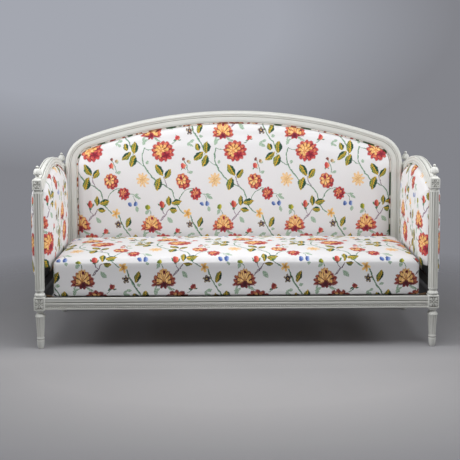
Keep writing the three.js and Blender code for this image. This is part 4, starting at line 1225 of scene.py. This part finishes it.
# %% [markdown]
# ## The back frame
#
# The crest rail runs in one long arc with round shoulders and goes on down into the two stiles. The
# outline is worked out from the box of the crest and the radius of the shoulders: the long arc has to
# meet both shoulders without a kink.

# %% Outline of the back
crest_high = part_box("back_crest_rail")[1]
BACK_HALF, CREST_TOP = crest_high.x, crest_high.z
SHOULDER_R = 0.170
SHOULDER_Z = 0.870
SHOULDER_X = BACK_HALF - SHOULDER_R
CREST_RISE = CREST_TOP - SHOULDER_Z
CREST_R = (SHOULDER_X**2 + CREST_RISE**2 - SHOULDER_R**2) / (2 * (CREST_RISE - SHOULDER_R))
CREST_Z = CREST_TOP - CREST_R
CREST_ANGLE = math.asin(SHOULDER_X / (CREST_R - SHOULDER_R))
FRAME_WIDTH = 0.065
BACK_FRONT, BACK_REAR = POST_Y - 0.064, POST_Y - 0.004


def crest_points(inset, shoulder_steps=14, crest_steps=56):
    points = []
    for step in range(shoulder_steps):
        angle = math.pi / 2 - step / shoulder_steps * (math.pi / 2 - CREST_ANGLE)
        radius = SHOULDER_R - inset
        points.append((SHOULDER_X + radius * math.sin(angle), SHOULDER_Z + radius * math.cos(angle)))
    mirrored = [(-x, z) for x, z in reversed(points)]
    for step in range(crest_steps + 1):
        angle = CREST_ANGLE * (1 - 2 * step / crest_steps)
        radius = CREST_R - inset
        points.append((radius * math.sin(angle), CREST_Z + radius * math.cos(angle)))
    return points + mirrored


print("long arc of radius", round(CREST_R, 3), "through", round(math.degrees(2 * CREST_ANGLE), 1), "degrees")

# %% [markdown]
# The moulding follows the outline all round, as a plane run round the frame would leave it. So we fill
# the outline with one face and inset it again and again: each inset goes a step inwards and a step up or
# down. Two faces are left in the middle, one in front and one behind, and bridging them opens the frame.
# Then the ring is cut into crest and stiles, where the joiner's joints are.

# %% Moulding of the back frame, by insets
MOULDING = [
    (0.0, 0.0425), (0.0012, 0.0440), (0.0024, 0.0468), (0.0034, 0.0502), (0.0046, 0.0534),
    (0.0062, 0.0558), (0.0084, 0.0576), (0.0112, 0.0588), (0.0142, 0.0594), (0.0172, 0.0594),
    (0.0198, 0.0586), (0.0216, 0.0572), (0.0226, 0.0556), (0.0240, 0.0550), (0.0252, 0.0556),
    (0.0262, 0.0570), (0.0276, 0.0577), (0.0290, 0.0574), (0.0300, 0.0562), (0.0306, 0.0534),
    (0.0318, 0.0524), (0.0330, 0.0528), (0.0338, 0.0540), (0.0356, 0.0545), (0.0400, 0.0546),
    (0.0450, 0.0547), (0.0500, 0.0546), (0.0540, 0.0541), (0.0556, 0.0533), (0.0562, 0.0524),
    (0.0574, 0.0521), (0.0586, 0.0523), (0.0606, 0.0519), (0.0624, 0.0506), (0.0638, 0.0480),
    (0.065, 0.0440),
]


def back_frame():
    foot = 0.12
    outline = [(-BACK_HALF, foot), (BACK_HALF, foot), *crest_points(0)]
    ring = filled("back_frame", [(x, BACK_REAR, z) for x, z in outline])
    bpy.ops.mesh.extrude_region_move(TRANSFORM_OT_translate={"value": (0, -MOULDING[0][1], 0)})
    tidy_shell()
    pick(ring, "FACE", lambda middle, normal: normal.y < -0.9)
    for (before_in, before_up), (inwards, up) in zip(MOULDING, MOULDING[1:]):
        bpy.ops.mesh.inset(thickness=inwards - before_in, depth=up - before_up, use_even_offset=True)
    pick(ring, "FACE", lambda middle, normal: normal.y > 0.9)
    bpy.ops.mesh.inset(thickness=FRAME_WIDTH, depth=0, use_even_offset=True)
    shape = bmesh.from_edit_mesh(ring.data)
    front = max((f for f in shape.faces if f.normal.y < -0.9), key=lambda f: f.calc_area())
    front.select_set(True)
    bmesh.update_edit_mesh(ring.data)
    bpy.ops.mesh.bridge_edge_loops()
    tidy_shell()
    let_go()
    return ring


def cut_off(piece, place, normal):
    """Cuts a piece with a plane, drops what lies on the normal's side and closes the cut."""
    edit(piece)
    bpy.ops.mesh.bisect(plane_co=place, plane_no=normal, use_fill=True, clear_outer=True)
    tidy_shell()
    let_go()
    return piece


ring = back_frame()
find_hollows(ring, 0.005, 20)
crest = cut_off(copied(ring, "painted_back_crest_rail"), (0, 0, SHOULDER_Z), (0, 0, -1))
for label, side in (("left", -1), ("right", 1)):
    stile = cut_off(copied(ring, "painted_back_stile_" + label), (0, 0, SHOULDER_Z - 0.0002), (0, 0, 1))
    cut_off(stile, (0, 0, RAIL_TOP + 0.0003), (0, 0, -1))
    cut_off(stile, (side * 0.5, 0, 0), (-side, 0, 0))
    smooth(stile, 36)
    finish_piece(stile, paint, "back_stile_" + label)
smooth(crest, 36)
finish_piece(crest, paint, "back_crest_rail")
bpy.data.objects.remove(ring)
print("crest has", len(crest.data.polygons), "faces")

# %% [markdown]
# ## The padded panels
#
# The back and the arms are tight upholstery: wadding over webbing, with the cotton pulled to the edge of
# the opening. Each panel starts as a flat grid. A rule lays the grid into the arched opening, raises it
# steeply at the edge and then gently to a crown.

# %% A grid for each panel
def panel_grid(name, columns, rows):
    """A thin slab of quads, two units wide and high, whose front layer is at y = -1 and rear at y = 0."""
    let_go()
    bpy.ops.mesh.primitive_grid_add(x_subdivisions=columns, y_subdivisions=rows, size=2)
    panel = named(name)
    edit(panel)
    bpy.ops.mesh.extrude_region_move(TRANSFORM_OT_translate={"value": (0, 0, 1)})
    tidy_shell()
    let_go()
    return reshape(panel, lambda places: places[:, [0, 2, 1]] * (1, -1, 1))


def roll_share(distance, width):
    """How far the padding has risen at a distance from its edge: quickly at first, then smoothly."""
    share = np.clip(distance / width, 0, 1)
    return (1 - (1 - share) ** 3) ** 0.8


def crown_share(across, up):
    """From 0.62 at the rim of the panel to 1 in its middle."""
    out = (np.abs(across) ** 4 + np.abs(up) ** 4) ** 0.25
    return 1 - 0.38 * np.clip(out, 0, 1) ** 2.8


# %% [markdown]
# The cloth simulation does what the wadding does behind the cotton: a little pressure lets the cloth out,
# while its rim is held. Then each corner of a face is told where it lies on the sheet, for the print.

# %% Let the cloth out and lay the print
def swell(piece, cap, held):
    """Lets the cloth out by pressure. Points that are held stay, and none goes further than the cap."""
    before = points_of(piece)
    group = piece.vertex_groups.new(name="held")
    group.add([int(i) for i in np.flatnonzero(held(before))], 1.0, "REPLACE")
    take(piece)
    bpy.ops.object.modifier_add(type="CLOTH")
    cloth = piece.modifiers[-1]
    cloth.settings.vertex_group_mass = "held"
    cloth.settings.use_pressure = True
    cloth.settings.uniform_pressure_force = 4.0
    cloth.settings.effector_weights.gravity = 0.0
    cloth.settings.quality = 4
    cloth.point_cache.frame_start, cloth.point_cache.frame_end = 1, 20
    for step in range(1, 21):
        bpy.context.scene.frame_set(step)
    apply_last(piece)
    bpy.context.scene.frame_set(1)
    piece.vertex_groups.clear()
    shift = points_of(piece) - before
    length = np.linalg.norm(shift, axis=1, keepdims=True)
    share = np.minimum(1.0, cap / np.maximum(length, 1e-9))
    set_points(piece, before + shift * share)
    print(piece.name, "let out by up to", round(1000 * float((length * share).max()), 1), "mm")


def subdivided(piece):
    take(piece)
    bpy.ops.object.modifier_add(type="SUBSURF")
    piece.modifiers[-1].levels = 1
    piece.modifiers[-1].render_levels = 1
    apply_last(piece)


def lay_cloth(piece, rule):
    """Writes the cloth's own coordinates, in metres, from each corner's place and its face's normal."""
    mesh = piece.data
    layer = mesh.uv_layers.new(name="cloth")
    corner_point = np.empty(len(mesh.loops), int)
    mesh.loops.foreach_get("vertex_index", corner_point)
    places = points_of(piece)[corner_point]
    normals = np.empty(len(mesh.polygons) * 3)
    mesh.polygons.foreach_get("normal", normals)
    counts = np.empty(len(mesh.polygons), int)
    mesh.polygons.foreach_get("loop_total", counts)
    normals = np.repeat(normals.reshape(-1, 3), counts, axis=0)
    layer.data.foreach_set("uv", np.ascontiguousarray(rule(places, normals), float).ravel())


def finish_pad(piece, node, rule):
    lay_cloth(piece, rule)
    take(piece)
    bpy.ops.object.shade_smooth()
    finish_piece(piece, cotton, node)
    let_go()


# %% [markdown]
# ### The back
#
# The front of the back has thick padding and the rear of it a thin one. Two rules say where the edge of
# the opening is, above any place along it and at any distance. The flowers stand where the upholsterer
# centred them: the lowest flower of each repeat is just above the seat.

# %% Back panels
PAD_INSET, PAD_ROLL, PAD_FOOT = 0.0076, 0.045, 0.0023
BACK_SIDE = BACK_HALF - FRAME_WIDTH - PAD_INSET
BACK_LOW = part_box("back_bottom_rail")[1].z + PAD_INSET
ARC_R = CREST_R - FRAME_WIDTH - PAD_INSET
ARC_END = ARC_R * math.sin(CREST_ANGLE)
CORNER_R = SHOULDER_R - FRAME_WIDTH - PAD_INSET
CORE_Y = (BACK_FRONT + BACK_REAR) / 2


def back_top(x):
    """Height of the opening's edge above a place along its length."""
    reach = np.abs(x)
    over = CREST_Z + np.sqrt(ARC_R**2 - np.minimum(reach, ARC_END) ** 2)
    corner = SHOULDER_Z + np.sqrt(np.maximum(CORNER_R**2 - (reach - SHOULDER_X) ** 2, 0))
    return np.where(reach < ARC_END, over, corner)


def back_rim_distance(x, z):
    reach = np.abs(x)
    flat = np.minimum(BACK_SIDE - reach, z - BACK_LOW)
    arc = ARC_R - np.hypot(x, z - CREST_Z)
    corner = CORNER_R - np.hypot(reach - SHOULDER_X, z - SHOULDER_Z)
    in_corner = (z > SHOULDER_Z) & (reach > SHOULDER_X + (z - SHOULDER_Z) * math.tan(CREST_ANGLE))
    return np.maximum(np.where(in_corner, corner, np.minimum(flat, arc)), 0)


def back_panel(name, direction, edge, crown):
    """Direction is -1 for the front, which is the one that is sat against, and 1 for the rear."""
    panel = panel_grid(name, 132, 76)

    def rule(places):
        across, layer, up = places.T
        x = BACK_SIDE * (0.5 * across + 0.5 * np.sin(across * math.pi / 2))
        top = back_top(x)
        z = BACK_LOW + (up + 1) / 2 * (top - BACK_LOW)
        share = roll_share(back_rim_distance(x, z), PAD_ROLL) * crown_share(across, up)
        level = np.where(layer < -0.5, edge + (crown - edge) * share, PAD_FOOT)
        return np.column_stack([x, CORE_Y + direction * level, z])

    reshape(panel, rule)
    face_outwards(panel)
    return panel


def back_cloth(places, normals):
    return np.column_stack([places[:, 0] + 0.4749, places[:, 2] - 0.539])


def rear_cloth(places, normals):
    return back_cloth(places * (-1, 1, 1), normals)


def back_held(places):
    behind = places[:, 1] > CORE_Y - 0.024
    return behind | (back_rim_distance(places[:, 0], places[:, 2]) < 0.012)


back_pad = back_panel("back_cover", -1, 0.013, 0.066)
swell(back_pad, 0.005, back_held)
subdivided(back_pad)
finish_pad(back_pad, "back_pad", back_cloth)
rear_pad = back_panel("back_outer_cover", 1, 0.028, 0.040)
finish_pad(rear_pad, "back_outer_pad", rear_cloth)

# %% [markdown]
# ### The arms
#
# Each arm is padded inside and outside, in an opening whose upper edge is the arch of the arm rail.
# Inside, the padding gives way where the stile of the back frame presses on it. Low down on the inside,
# where the cushion hides it, the cotton is turned black, as painted shade for the gap between cushion
# and arm. Only at the front, between cushion and column, a little of that shows.

# %% Arm panels
OPENING_HALF = 0.3647
ARM_SIDE = POST_Y - COLUMN_RADIUS - PAD_INSET
ARM_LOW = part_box("arm_bottom_rail_left")[1].z + PAD_INSET
ARM_R = (OPENING_HALF**2 + ARM_RISE**2) / (2 * ARM_RISE) - PAD_INSET
ARM_CENTRE = ARM_SPRING + ARM_RISE - ARM_R - PAD_INSET
PRESSED_FROM, PRESSED_OVER, PRESSED_TO = 0.306, 0.016, 0.0275


def arm_panel(name, side, direction, crown):
    """Side is the end of the sofa; direction is -1 for the inner face and 1 for the outer one."""
    panel = panel_grid(name, 62, 50)
    edge = crown * 0.42

    def rule(places):
        along, layer, up = places.T
        y = ARM_SIDE * (0.6 * along + 0.4 * np.sin(along * math.pi / 2))
        top = ARM_CENTRE + np.sqrt(ARM_R**2 - y**2)
        z = ARM_LOW + (up + 1) / 2 * (top - ARM_LOW)
        flat = np.minimum(ARM_SIDE - np.abs(y), z - ARM_LOW)
        rim = np.maximum(np.minimum(flat, ARM_R - np.hypot(y, z - ARM_CENTRE)), 0)
        share = roll_share(rim, PAD_ROLL) * crown_share(along, up)
        rise = edge + (crown + PAD_FOOT - edge) * share
        if direction < 0:
            press = np.clip((y - PRESSED_FROM) / PRESSED_OVER, 0, 1)
            press = press * press * (3 - 2 * press)
            rise = np.where(rise > PRESSED_TO, rise + (PRESSED_TO - rise) * press, rise)
        level = np.where(layer < -0.5, rise, PAD_FOOT)
        return np.column_stack([side * (POST_X + direction * level), y, z])

    reshape(panel, rule)
    face_outwards(panel)
    return panel


def arm_cloth(sign, start, height):
    def rule(places, normals):
        return np.column_stack([sign * places[:, 1] - start, places[:, 2] - height])

    return rule


def gap_shade_below(places):
    """One in the painted black shade: below a line that is level at the front and sinks towards the back."""
    line = 0.412 - 0.6 * np.maximum(places[:, 1] + 0.33, 0)
    return np.clip((line - places[:, 2]) / 0.003, 0, 1)


ARM_PADS = [
    ("left", -1, "inner", -1, 0.050, arm_cloth(1, -0.39, 0.655)),
    ("right", 1, "inner", -1, 0.050, arm_cloth(-1, 0.262, 0.642)),
    ("left", -1, "outer", 1, 0.056, arm_cloth(-1, 0.273, 0.65)),
    ("right", 1, "outer", 1, 0.056, arm_cloth(1, -0.39, 0.65)),
]
for label, side, face, direction, crown, rule in ARM_PADS:
    pad = arm_panel(f"arm_{face}_cover_{label}", side, direction, crown)
    swell(pad, 0.004, lambda p: (np.abs(np.abs(p[:, 0]) - POST_X) < crown * 0.55) | (p[:, 1] > 0.27))
    subdivided(pad)
    if face == "inner":
        # The low part of the inner pad is marked for painted black shade.
        mark(pad, "lining", gap_shade_below)
    finish_pad(pad, f"arm_{face}_pad_{label}", rule)

# %% [markdown]
# ## The double piping
#
# A thin double cord of the same cotton covers the tacks round each opening. A line follows the opening,
# is made a curve with a round section, and becomes a mesh again. The second cord lies beside the first.
# Where the inner pads of the arms are turned black as painted shade, their cords are black too.

# %% Piping
CORD_RADIUS, CORD_INSETS = 0.0019, (0.0022, 0.0058)


def cord_round(name, loop):
    piece = draw_line(name, [*loop, loop[0]])
    weld()
    take(piece)
    bpy.ops.object.convert(target="CURVE")
    curve = bpy.context.active_object
    curve.data.bevel_depth = CORD_RADIUS
    curve.data.bevel_resolution = 2
    bpy.ops.object.convert(target="MESH")
    made = bpy.context.active_object
    edit(made)
    tidy_shell()
    let_go()
    return made


def back_loop(inset, y):
    side = BACK_SIDE + PAD_INSET - inset
    low = BACK_LOW - PAD_INSET + inset
    points = [(-side, y, low), (0, y, low), (side, y, low)]
    return [*points, *[(x, y, z) for x, z in crest_points(FRAME_WIDTH + inset, 6, 40)]]


def arm_loop(inset, x):
    side = ARM_SIDE + PAD_INSET - inset
    low = ARM_LOW - PAD_INSET + inset
    radius = ARM_R + PAD_INSET - inset
    edge = math.asin(side / radius)
    over = [edge * (1 - 2 * step / 30) for step in range(31)]
    arc = [(x, radius * math.sin(a), ARM_CENTRE + radius * math.cos(a)) for a in over]
    return [(x, -side, low), (x, side, low), *arc]


def double_piping(face, label, loop, level):
    name = face + "_double_piping" + label
    pair = joined(name, [cord_round(name, loop(inset, level)) for inset in CORD_INSETS])
    # The low part of the inner cords is marked for painted black shade.
    if face == "arm_inner":
        mark(pair, "lining", gap_shade_below)
    smooth(pair, 60)
    finish_piece(pair, piping_cloth, face + "_piping" + label)


double_piping("back", "", back_loop, CORE_Y - 0.0156)
double_piping("back_outer", "", back_loop, BACK_REAR - 0.0005)
for label, side in (("_left", -1), ("_right", 1)):
    for face, direction in (("arm_inner", -1), ("arm_outer", 1)):
        double_piping(face, label, arm_loop, side * (POST_X + direction * 0.0185))
print("double cords,", round(2000 * CORD_RADIUS, 1), "mm thick each, round six openings")

# %% [markdown]
# ## The seat cushion
#
# The seat is one loose box cushion, as long as the sofa is wide inside. A filled cushion is never a box:
# its top is crowned, its edges are round and its sides pull in between the corners, while it lies flat on
# the slats. A cube is divided into small quads and given that form. The crown stands a little higher than
# the box of the engineering model, and the sides end a little lower.

# %% Seat cushion
SEAT_LOW, SEAT_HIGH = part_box("seat_cushion")
SEAT_MIDDLE = (SEAT_LOW + SEAT_HIGH) / 2
SEAT_HALF = (SEAT_HIGH - SEAT_LOW) / 2
SIDE_TOP = SEAT_HIGH.z - 0.019
CORNER_ROUND, EDGE_ROUND, FOOT_ROUND = 0.024, 0.019, 0.008
CROWN, HOLLOW = 0.028, 0.006


def seat_cushion():
    let_go()
    bpy.ops.mesh.primitive_cube_add(size=2, location=(0, 0, 0))
    cushion = named("seat_cushion_cover")
    for axis, cuts in ((0, 110), (1, 44), (2, 14)):
        for cut in range(1, cuts):
            edit(cushion)
            place = [0, 0, 0]
            place[axis] = -1 + 2 * cut / cuts
            normal = [0, 0, 0]
            normal[axis] = 1
            bpy.ops.mesh.bisect(plane_co=place, plane_no=normal)
    let_go()
    return cushion


def seat_rule(places, shy):
    """Rounds the box, crowns its top and draws in its sides; shy leaves room for the cloth to swell."""
    half = np.array([SEAT_HALF.x - shy, SEAT_HALF.y - shy])
    low, top = SEAT_LOW.z, SIDE_TOP - shy
    x, y = places[:, 0] * half[0], places[:, 1] * half[1]
    z = low + (places[:, 2] + 1) / 2 * (top - low)
    inner = half - CORNER_ROUND
    near = np.column_stack([np.clip(x, -inner[0], inner[0]), np.clip(y, -inner[1], inner[1])])
    off = np.column_stack([x, y]) - near
    length = np.linalg.norm(off, axis=1)
    share = np.where(length > CORNER_ROUND, CORNER_ROUND / np.maximum(length, 1e-9), 1)
    x, y = near[:, 0] + off[:, 0] * share, near[:, 1] + off[:, 1] * share
    rim = np.minimum(half[0] - np.abs(x), half[1] - np.abs(y))
    upper = np.clip((z - (top - EDGE_ROUND)) / EDGE_ROUND, 0, 1)
    lower = np.clip((low + FOOT_ROUND - z) / FOOT_ROUND, 0, 1)
    draw = sum(
        radius * (1 - np.sqrt(np.maximum(1 - part**2, 0)))
        for radius, part in ((EDGE_ROUND, upper), (FOOT_ROUND, lower))
    )
    reach = np.clip(1 - rim / 0.12, 0, 1)
    x = x * (1 - draw * reach / half[0])
    y = y * (1 - draw * reach / half[1])
    height = np.clip((z - low) / (top - low), 0, 1)
    crown = np.maximum((1 - (x / half[0]) ** 2) * (1 - (y / half[1]) ** 2), 0) ** 0.3
    hollow = HOLLOW * np.sin(math.pi * height)
    x = x * (1 - hollow * np.cos(y / half[1] * math.pi / 2) / half[0])
    y = y * (1 - hollow * np.cos(x / half[0] * math.pi / 2) / half[1])
    z = z + CROWN * crown * height**3
    return np.column_stack([x + SEAT_MIDDLE.x, y + SEAT_MIDDLE.y, z])


# %% [markdown]
# The form is remeshed evenly and let out by the cloth simulation, with its underside held. It is kept
# clear of the arms and the back. Its sides, where the inks get painted shade, are marked with it.

# %% The cushion's cloth
cushion = seat_cushion()
reshape(cushion, lambda places: seat_rule(places, 0.004))
take(cushion)
bpy.ops.object.modifier_add(type="REMESH")
cushion.modifiers[-1].mode = "VOXEL"
cushion.modifiers[-1].voxel_size = 0.011
apply_last(cushion)
swell(cushion, 0.007, lambda p: p[:, 2] < SEAT_LOW.z + 0.006)
least = (SEAT_LOW.x - 0.0015, SEAT_LOW.y - 0.004, SEAT_LOW.z)
most = (SEAT_HIGH.x + 0.0015, SEAT_HIGH.y + 0.003, math.inf)
reshape(cushion, lambda places: np.clip(places, least, most))
subdivided(cushion)


def seat_cloth(places, normals):
    """The cloth runs up the front, over the edge and back across the top; the ends are cut apart."""
    x, y, z = places.T
    edge_z, edge_y = SIDE_TOP - EDGE_ROUND, SEAT_LOW.y + EDGE_ROUND
    round_part = np.arctan2(np.maximum(z - edge_z, 0), np.maximum(edge_y - y, 0.0001))
    over = EDGE_ROUND * np.where(z > edge_z, np.minimum(round_part, math.pi / 2), 0)
    v = np.minimum(z, edge_z) + over + np.maximum(y - edge_y, 0)
    at_end = np.abs(normals[:, 0]) > 0.75
    u = np.where(at_end, np.sign(x) * (SEAT_HIGH.x + y - SEAT_LOW.y), x)
    v = np.where(at_end | (normals[:, 1] > 0.75), z, v)
    return np.column_stack([u + 0.782, v - 0.363])


def below_the_edge(places):
    """One on the sides of the cushion, where the darker inks get painted shade."""
    return np.clip((SIDE_TOP - 0.004 - places[:, 2]) / 0.012, 0, 1)


# The sides of the cushion are marked for painted shade.
mark(cushion, "unfaded", below_the_edge)
finish_pad(cushion, "seat_cushion", seat_cloth)
print("seat cushion has", len(cushion.data.polygons), "faces")

# %% [markdown]
# ## The plain pieces
#
# The lower arm rails, the rear rail, the rail under the back, the slats, cleats, braces, dowels and
# screws are right as they come from the engineering model. They keep their shape and get their finish.

# %% Finishes for the pieces that stay
for name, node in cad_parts.items():
    if node.hide_render:
        continue
    if name.startswith("back_screw"):
        set_material(node, steel)
    elif name.startswith(("seat_slat", "seat_cleat", "corner_brace", "back_dowel")):
        set_material(node, pine)
    elif "core_board" in name:
        set_material(node, board)
    elif name.startswith("arm_bottom_rail"):
        # On their inner side these rails are darkened nearly black, as painted shade.
        set_material(node, paint_shaded_inside)
    else:
        set_material(node, paint)

# %% [markdown]
# ## Floor, light and camera
#
# The sofa stands on a plain grey floor that is lighter towards the camera, as a painted pool of light, and
# darker behind, as painted shade, and that fades into the backdrop. The fade is only for what is seen; for
# the light, the floor goes on.

# %% Floor
let_go()
bpy.ops.mesh.primitive_circle_add(vertices=96, radius=60, fill_type="NGON", location=(0, 0, 0))
floor = named("studio_floor")
ground = Finish("studio_floor")
place = ground.object_place()
away = ground.vector("LENGTH", place)[1]
cloud = ground.noise(place, 1.3, 4.0)[0]
depth = ground.parts(place)[1]
stone = ground.mix(cloud, tone("#afaeb0"), tone("#a5a4a7"))
# Darker behind the sofa as painted shade, and lighter towards the camera as a painted pool of light.
stone = ground.mix((depth + 0.60).mask(4.0), stone, tone("#9b9b9f"))
stone = ground.mix((-0.8 - depth).mask(1.1), stone, tone("#c2c1c3"))
stone_shader = ground.node("ShaderNodeBsdfPrincipled", {}, {"Base Color": stone, "Roughness": 0.75})[0]
far_shader = ground.node("ShaderNodeBsdfTransparent")[0]
fade = (away - 1.3).mask(0.7) * ground.seen_directly()
blend = ground.node("ShaderNodeMixShader", {}, {0: fade, 1: stone_shader, 2: far_shader})[0]
ground.tree.links.new(blend.socket, ground.output.inputs[0])
set_material(floor, ground.material)

# %% [markdown]
# The backdrop is a grey paper with a painted pool of light in the middle, bluish at the rim. It is drawn by
# the direction in which one looks, and it is there only for what is seen; the light that it would throw is
# taken over by a weak, even, slightly warm sky.

# %% World and backdrop
world = bpy.data.worlds.new("studio")
bpy.context.scene.world = world
world.use_nodes = True
sky = Nodes(world.node_tree)
way = sky.node("ShaderNodeTexCoord")[0]
off = sky.vector("SUBTRACT", way, (-0.118, 0.0, 0.0475))[0]
off = sky.vector("MULTIPLY", off, (3.1, 0.0, 7.2))[0]
# A painted pool of light in the middle of the backdrop.
glow = (1.08 - sky.vector("LENGTH", off)[1]).mask(1.9)
backdrop_tone = sky.mix(glow, tone("#83848a"), tone("#a4a7b0"))
lit = sky.node("ShaderNodeBackground", {}, {"Color": (1.0, 0.985, 0.965, 1.0), "Strength": 0.20})[0]
backdrop = sky.node("ShaderNodeBackground", {}, {"Color": backdrop_tone, "Strength": 1.0})[0]
either = sky.node("ShaderNodeMixShader", {}, {0: sky.seen_directly(), 1: lit, 2: backdrop})[0]
sky_out = world.node_tree.nodes.new("ShaderNodeOutputWorld")
world.node_tree.links.new(either.socket, sky_out.inputs[0])

# %% [markdown]
# One wide lamp hangs over the sofa, a little in front of it, and gives the soft shadow below the seat.
# Two weaker ones fill the sides from the ends, so that the outer faces of the posts keep some light.

# %% Lamps
def lamp(name, place, aim, width, height, power, spread=180):
    let_go()
    bpy.ops.object.light_add(type="AREA", location=place)
    light = bpy.context.active_object
    light.name = name
    light.data.shape = "RECTANGLE"
    light.data.size, light.data.size_y = width, height
    light.data.energy = power
    light.data.spread = math.radians(spread)
    light.rotation_euler = (Vector(aim) - Vector(place)).to_track_quat("-Z", "Y").to_euler()


lamp("lamp_above", (-0.1, -0.99, 1.94), (0, -0.2, 0.5), 3.6, 0.8, 34.5)
lamp("lamp_left", (-3.2, -0.3, 2.3), (0.9, 0, 0.7), 1.6, 1.6, 10.0, 60)
lamp("lamp_right", (3.2, -0.3, 2.3), (-0.9, 0, 0.7), 1.6, 1.6, 9.2, 60)

# %% [markdown]
# The camera stands where the photographer stood: a long lens, a little left of the middle and above the
# back, tilted down by five degrees. Its picture is a part of a larger one, so the frame is shifted too.

# %% Camera
PICTURE, FOCAL_LENGTH, LEVEL_LINE = 460, 1000, 154.9
CAMERA_PLACE = Vector((-0.092, -5.01 - POST_Y, 1.425))
YAW, PITCH, ROLL = math.radians(0.685), math.radians(5.002), math.radians(-0.194)
forward = Vector((math.sin(YAW) * math.cos(PITCH), math.cos(YAW) * math.cos(PITCH), -math.sin(PITCH)))
right = Vector((math.cos(YAW), -math.sin(YAW), 0))
up = right.cross(forward)
tilted_right = right * math.cos(ROLL) + up * math.sin(ROLL)
tilted_up = up * math.cos(ROLL) - right * math.sin(ROLL)
bpy.ops.object.camera_add()
camera = bpy.context.active_object
turned_axes = Matrix((tilted_right, tilted_up, -forward)).transposed()
camera.matrix_world = Matrix.LocRotScale(CAMERA_PLACE, turned_axes, None)
camera.data.sensor_width = 36
camera.data.lens = 36 * FOCAL_LENGTH / PICTURE
camera.data.shift_y = -(PICTURE / 2 - LEVEL_LINE) / PICTURE
camera.data.clip_end = 200
bpy.context.scene.camera = camera
bpy.context.scene.view_settings.view_transform = "Standard"
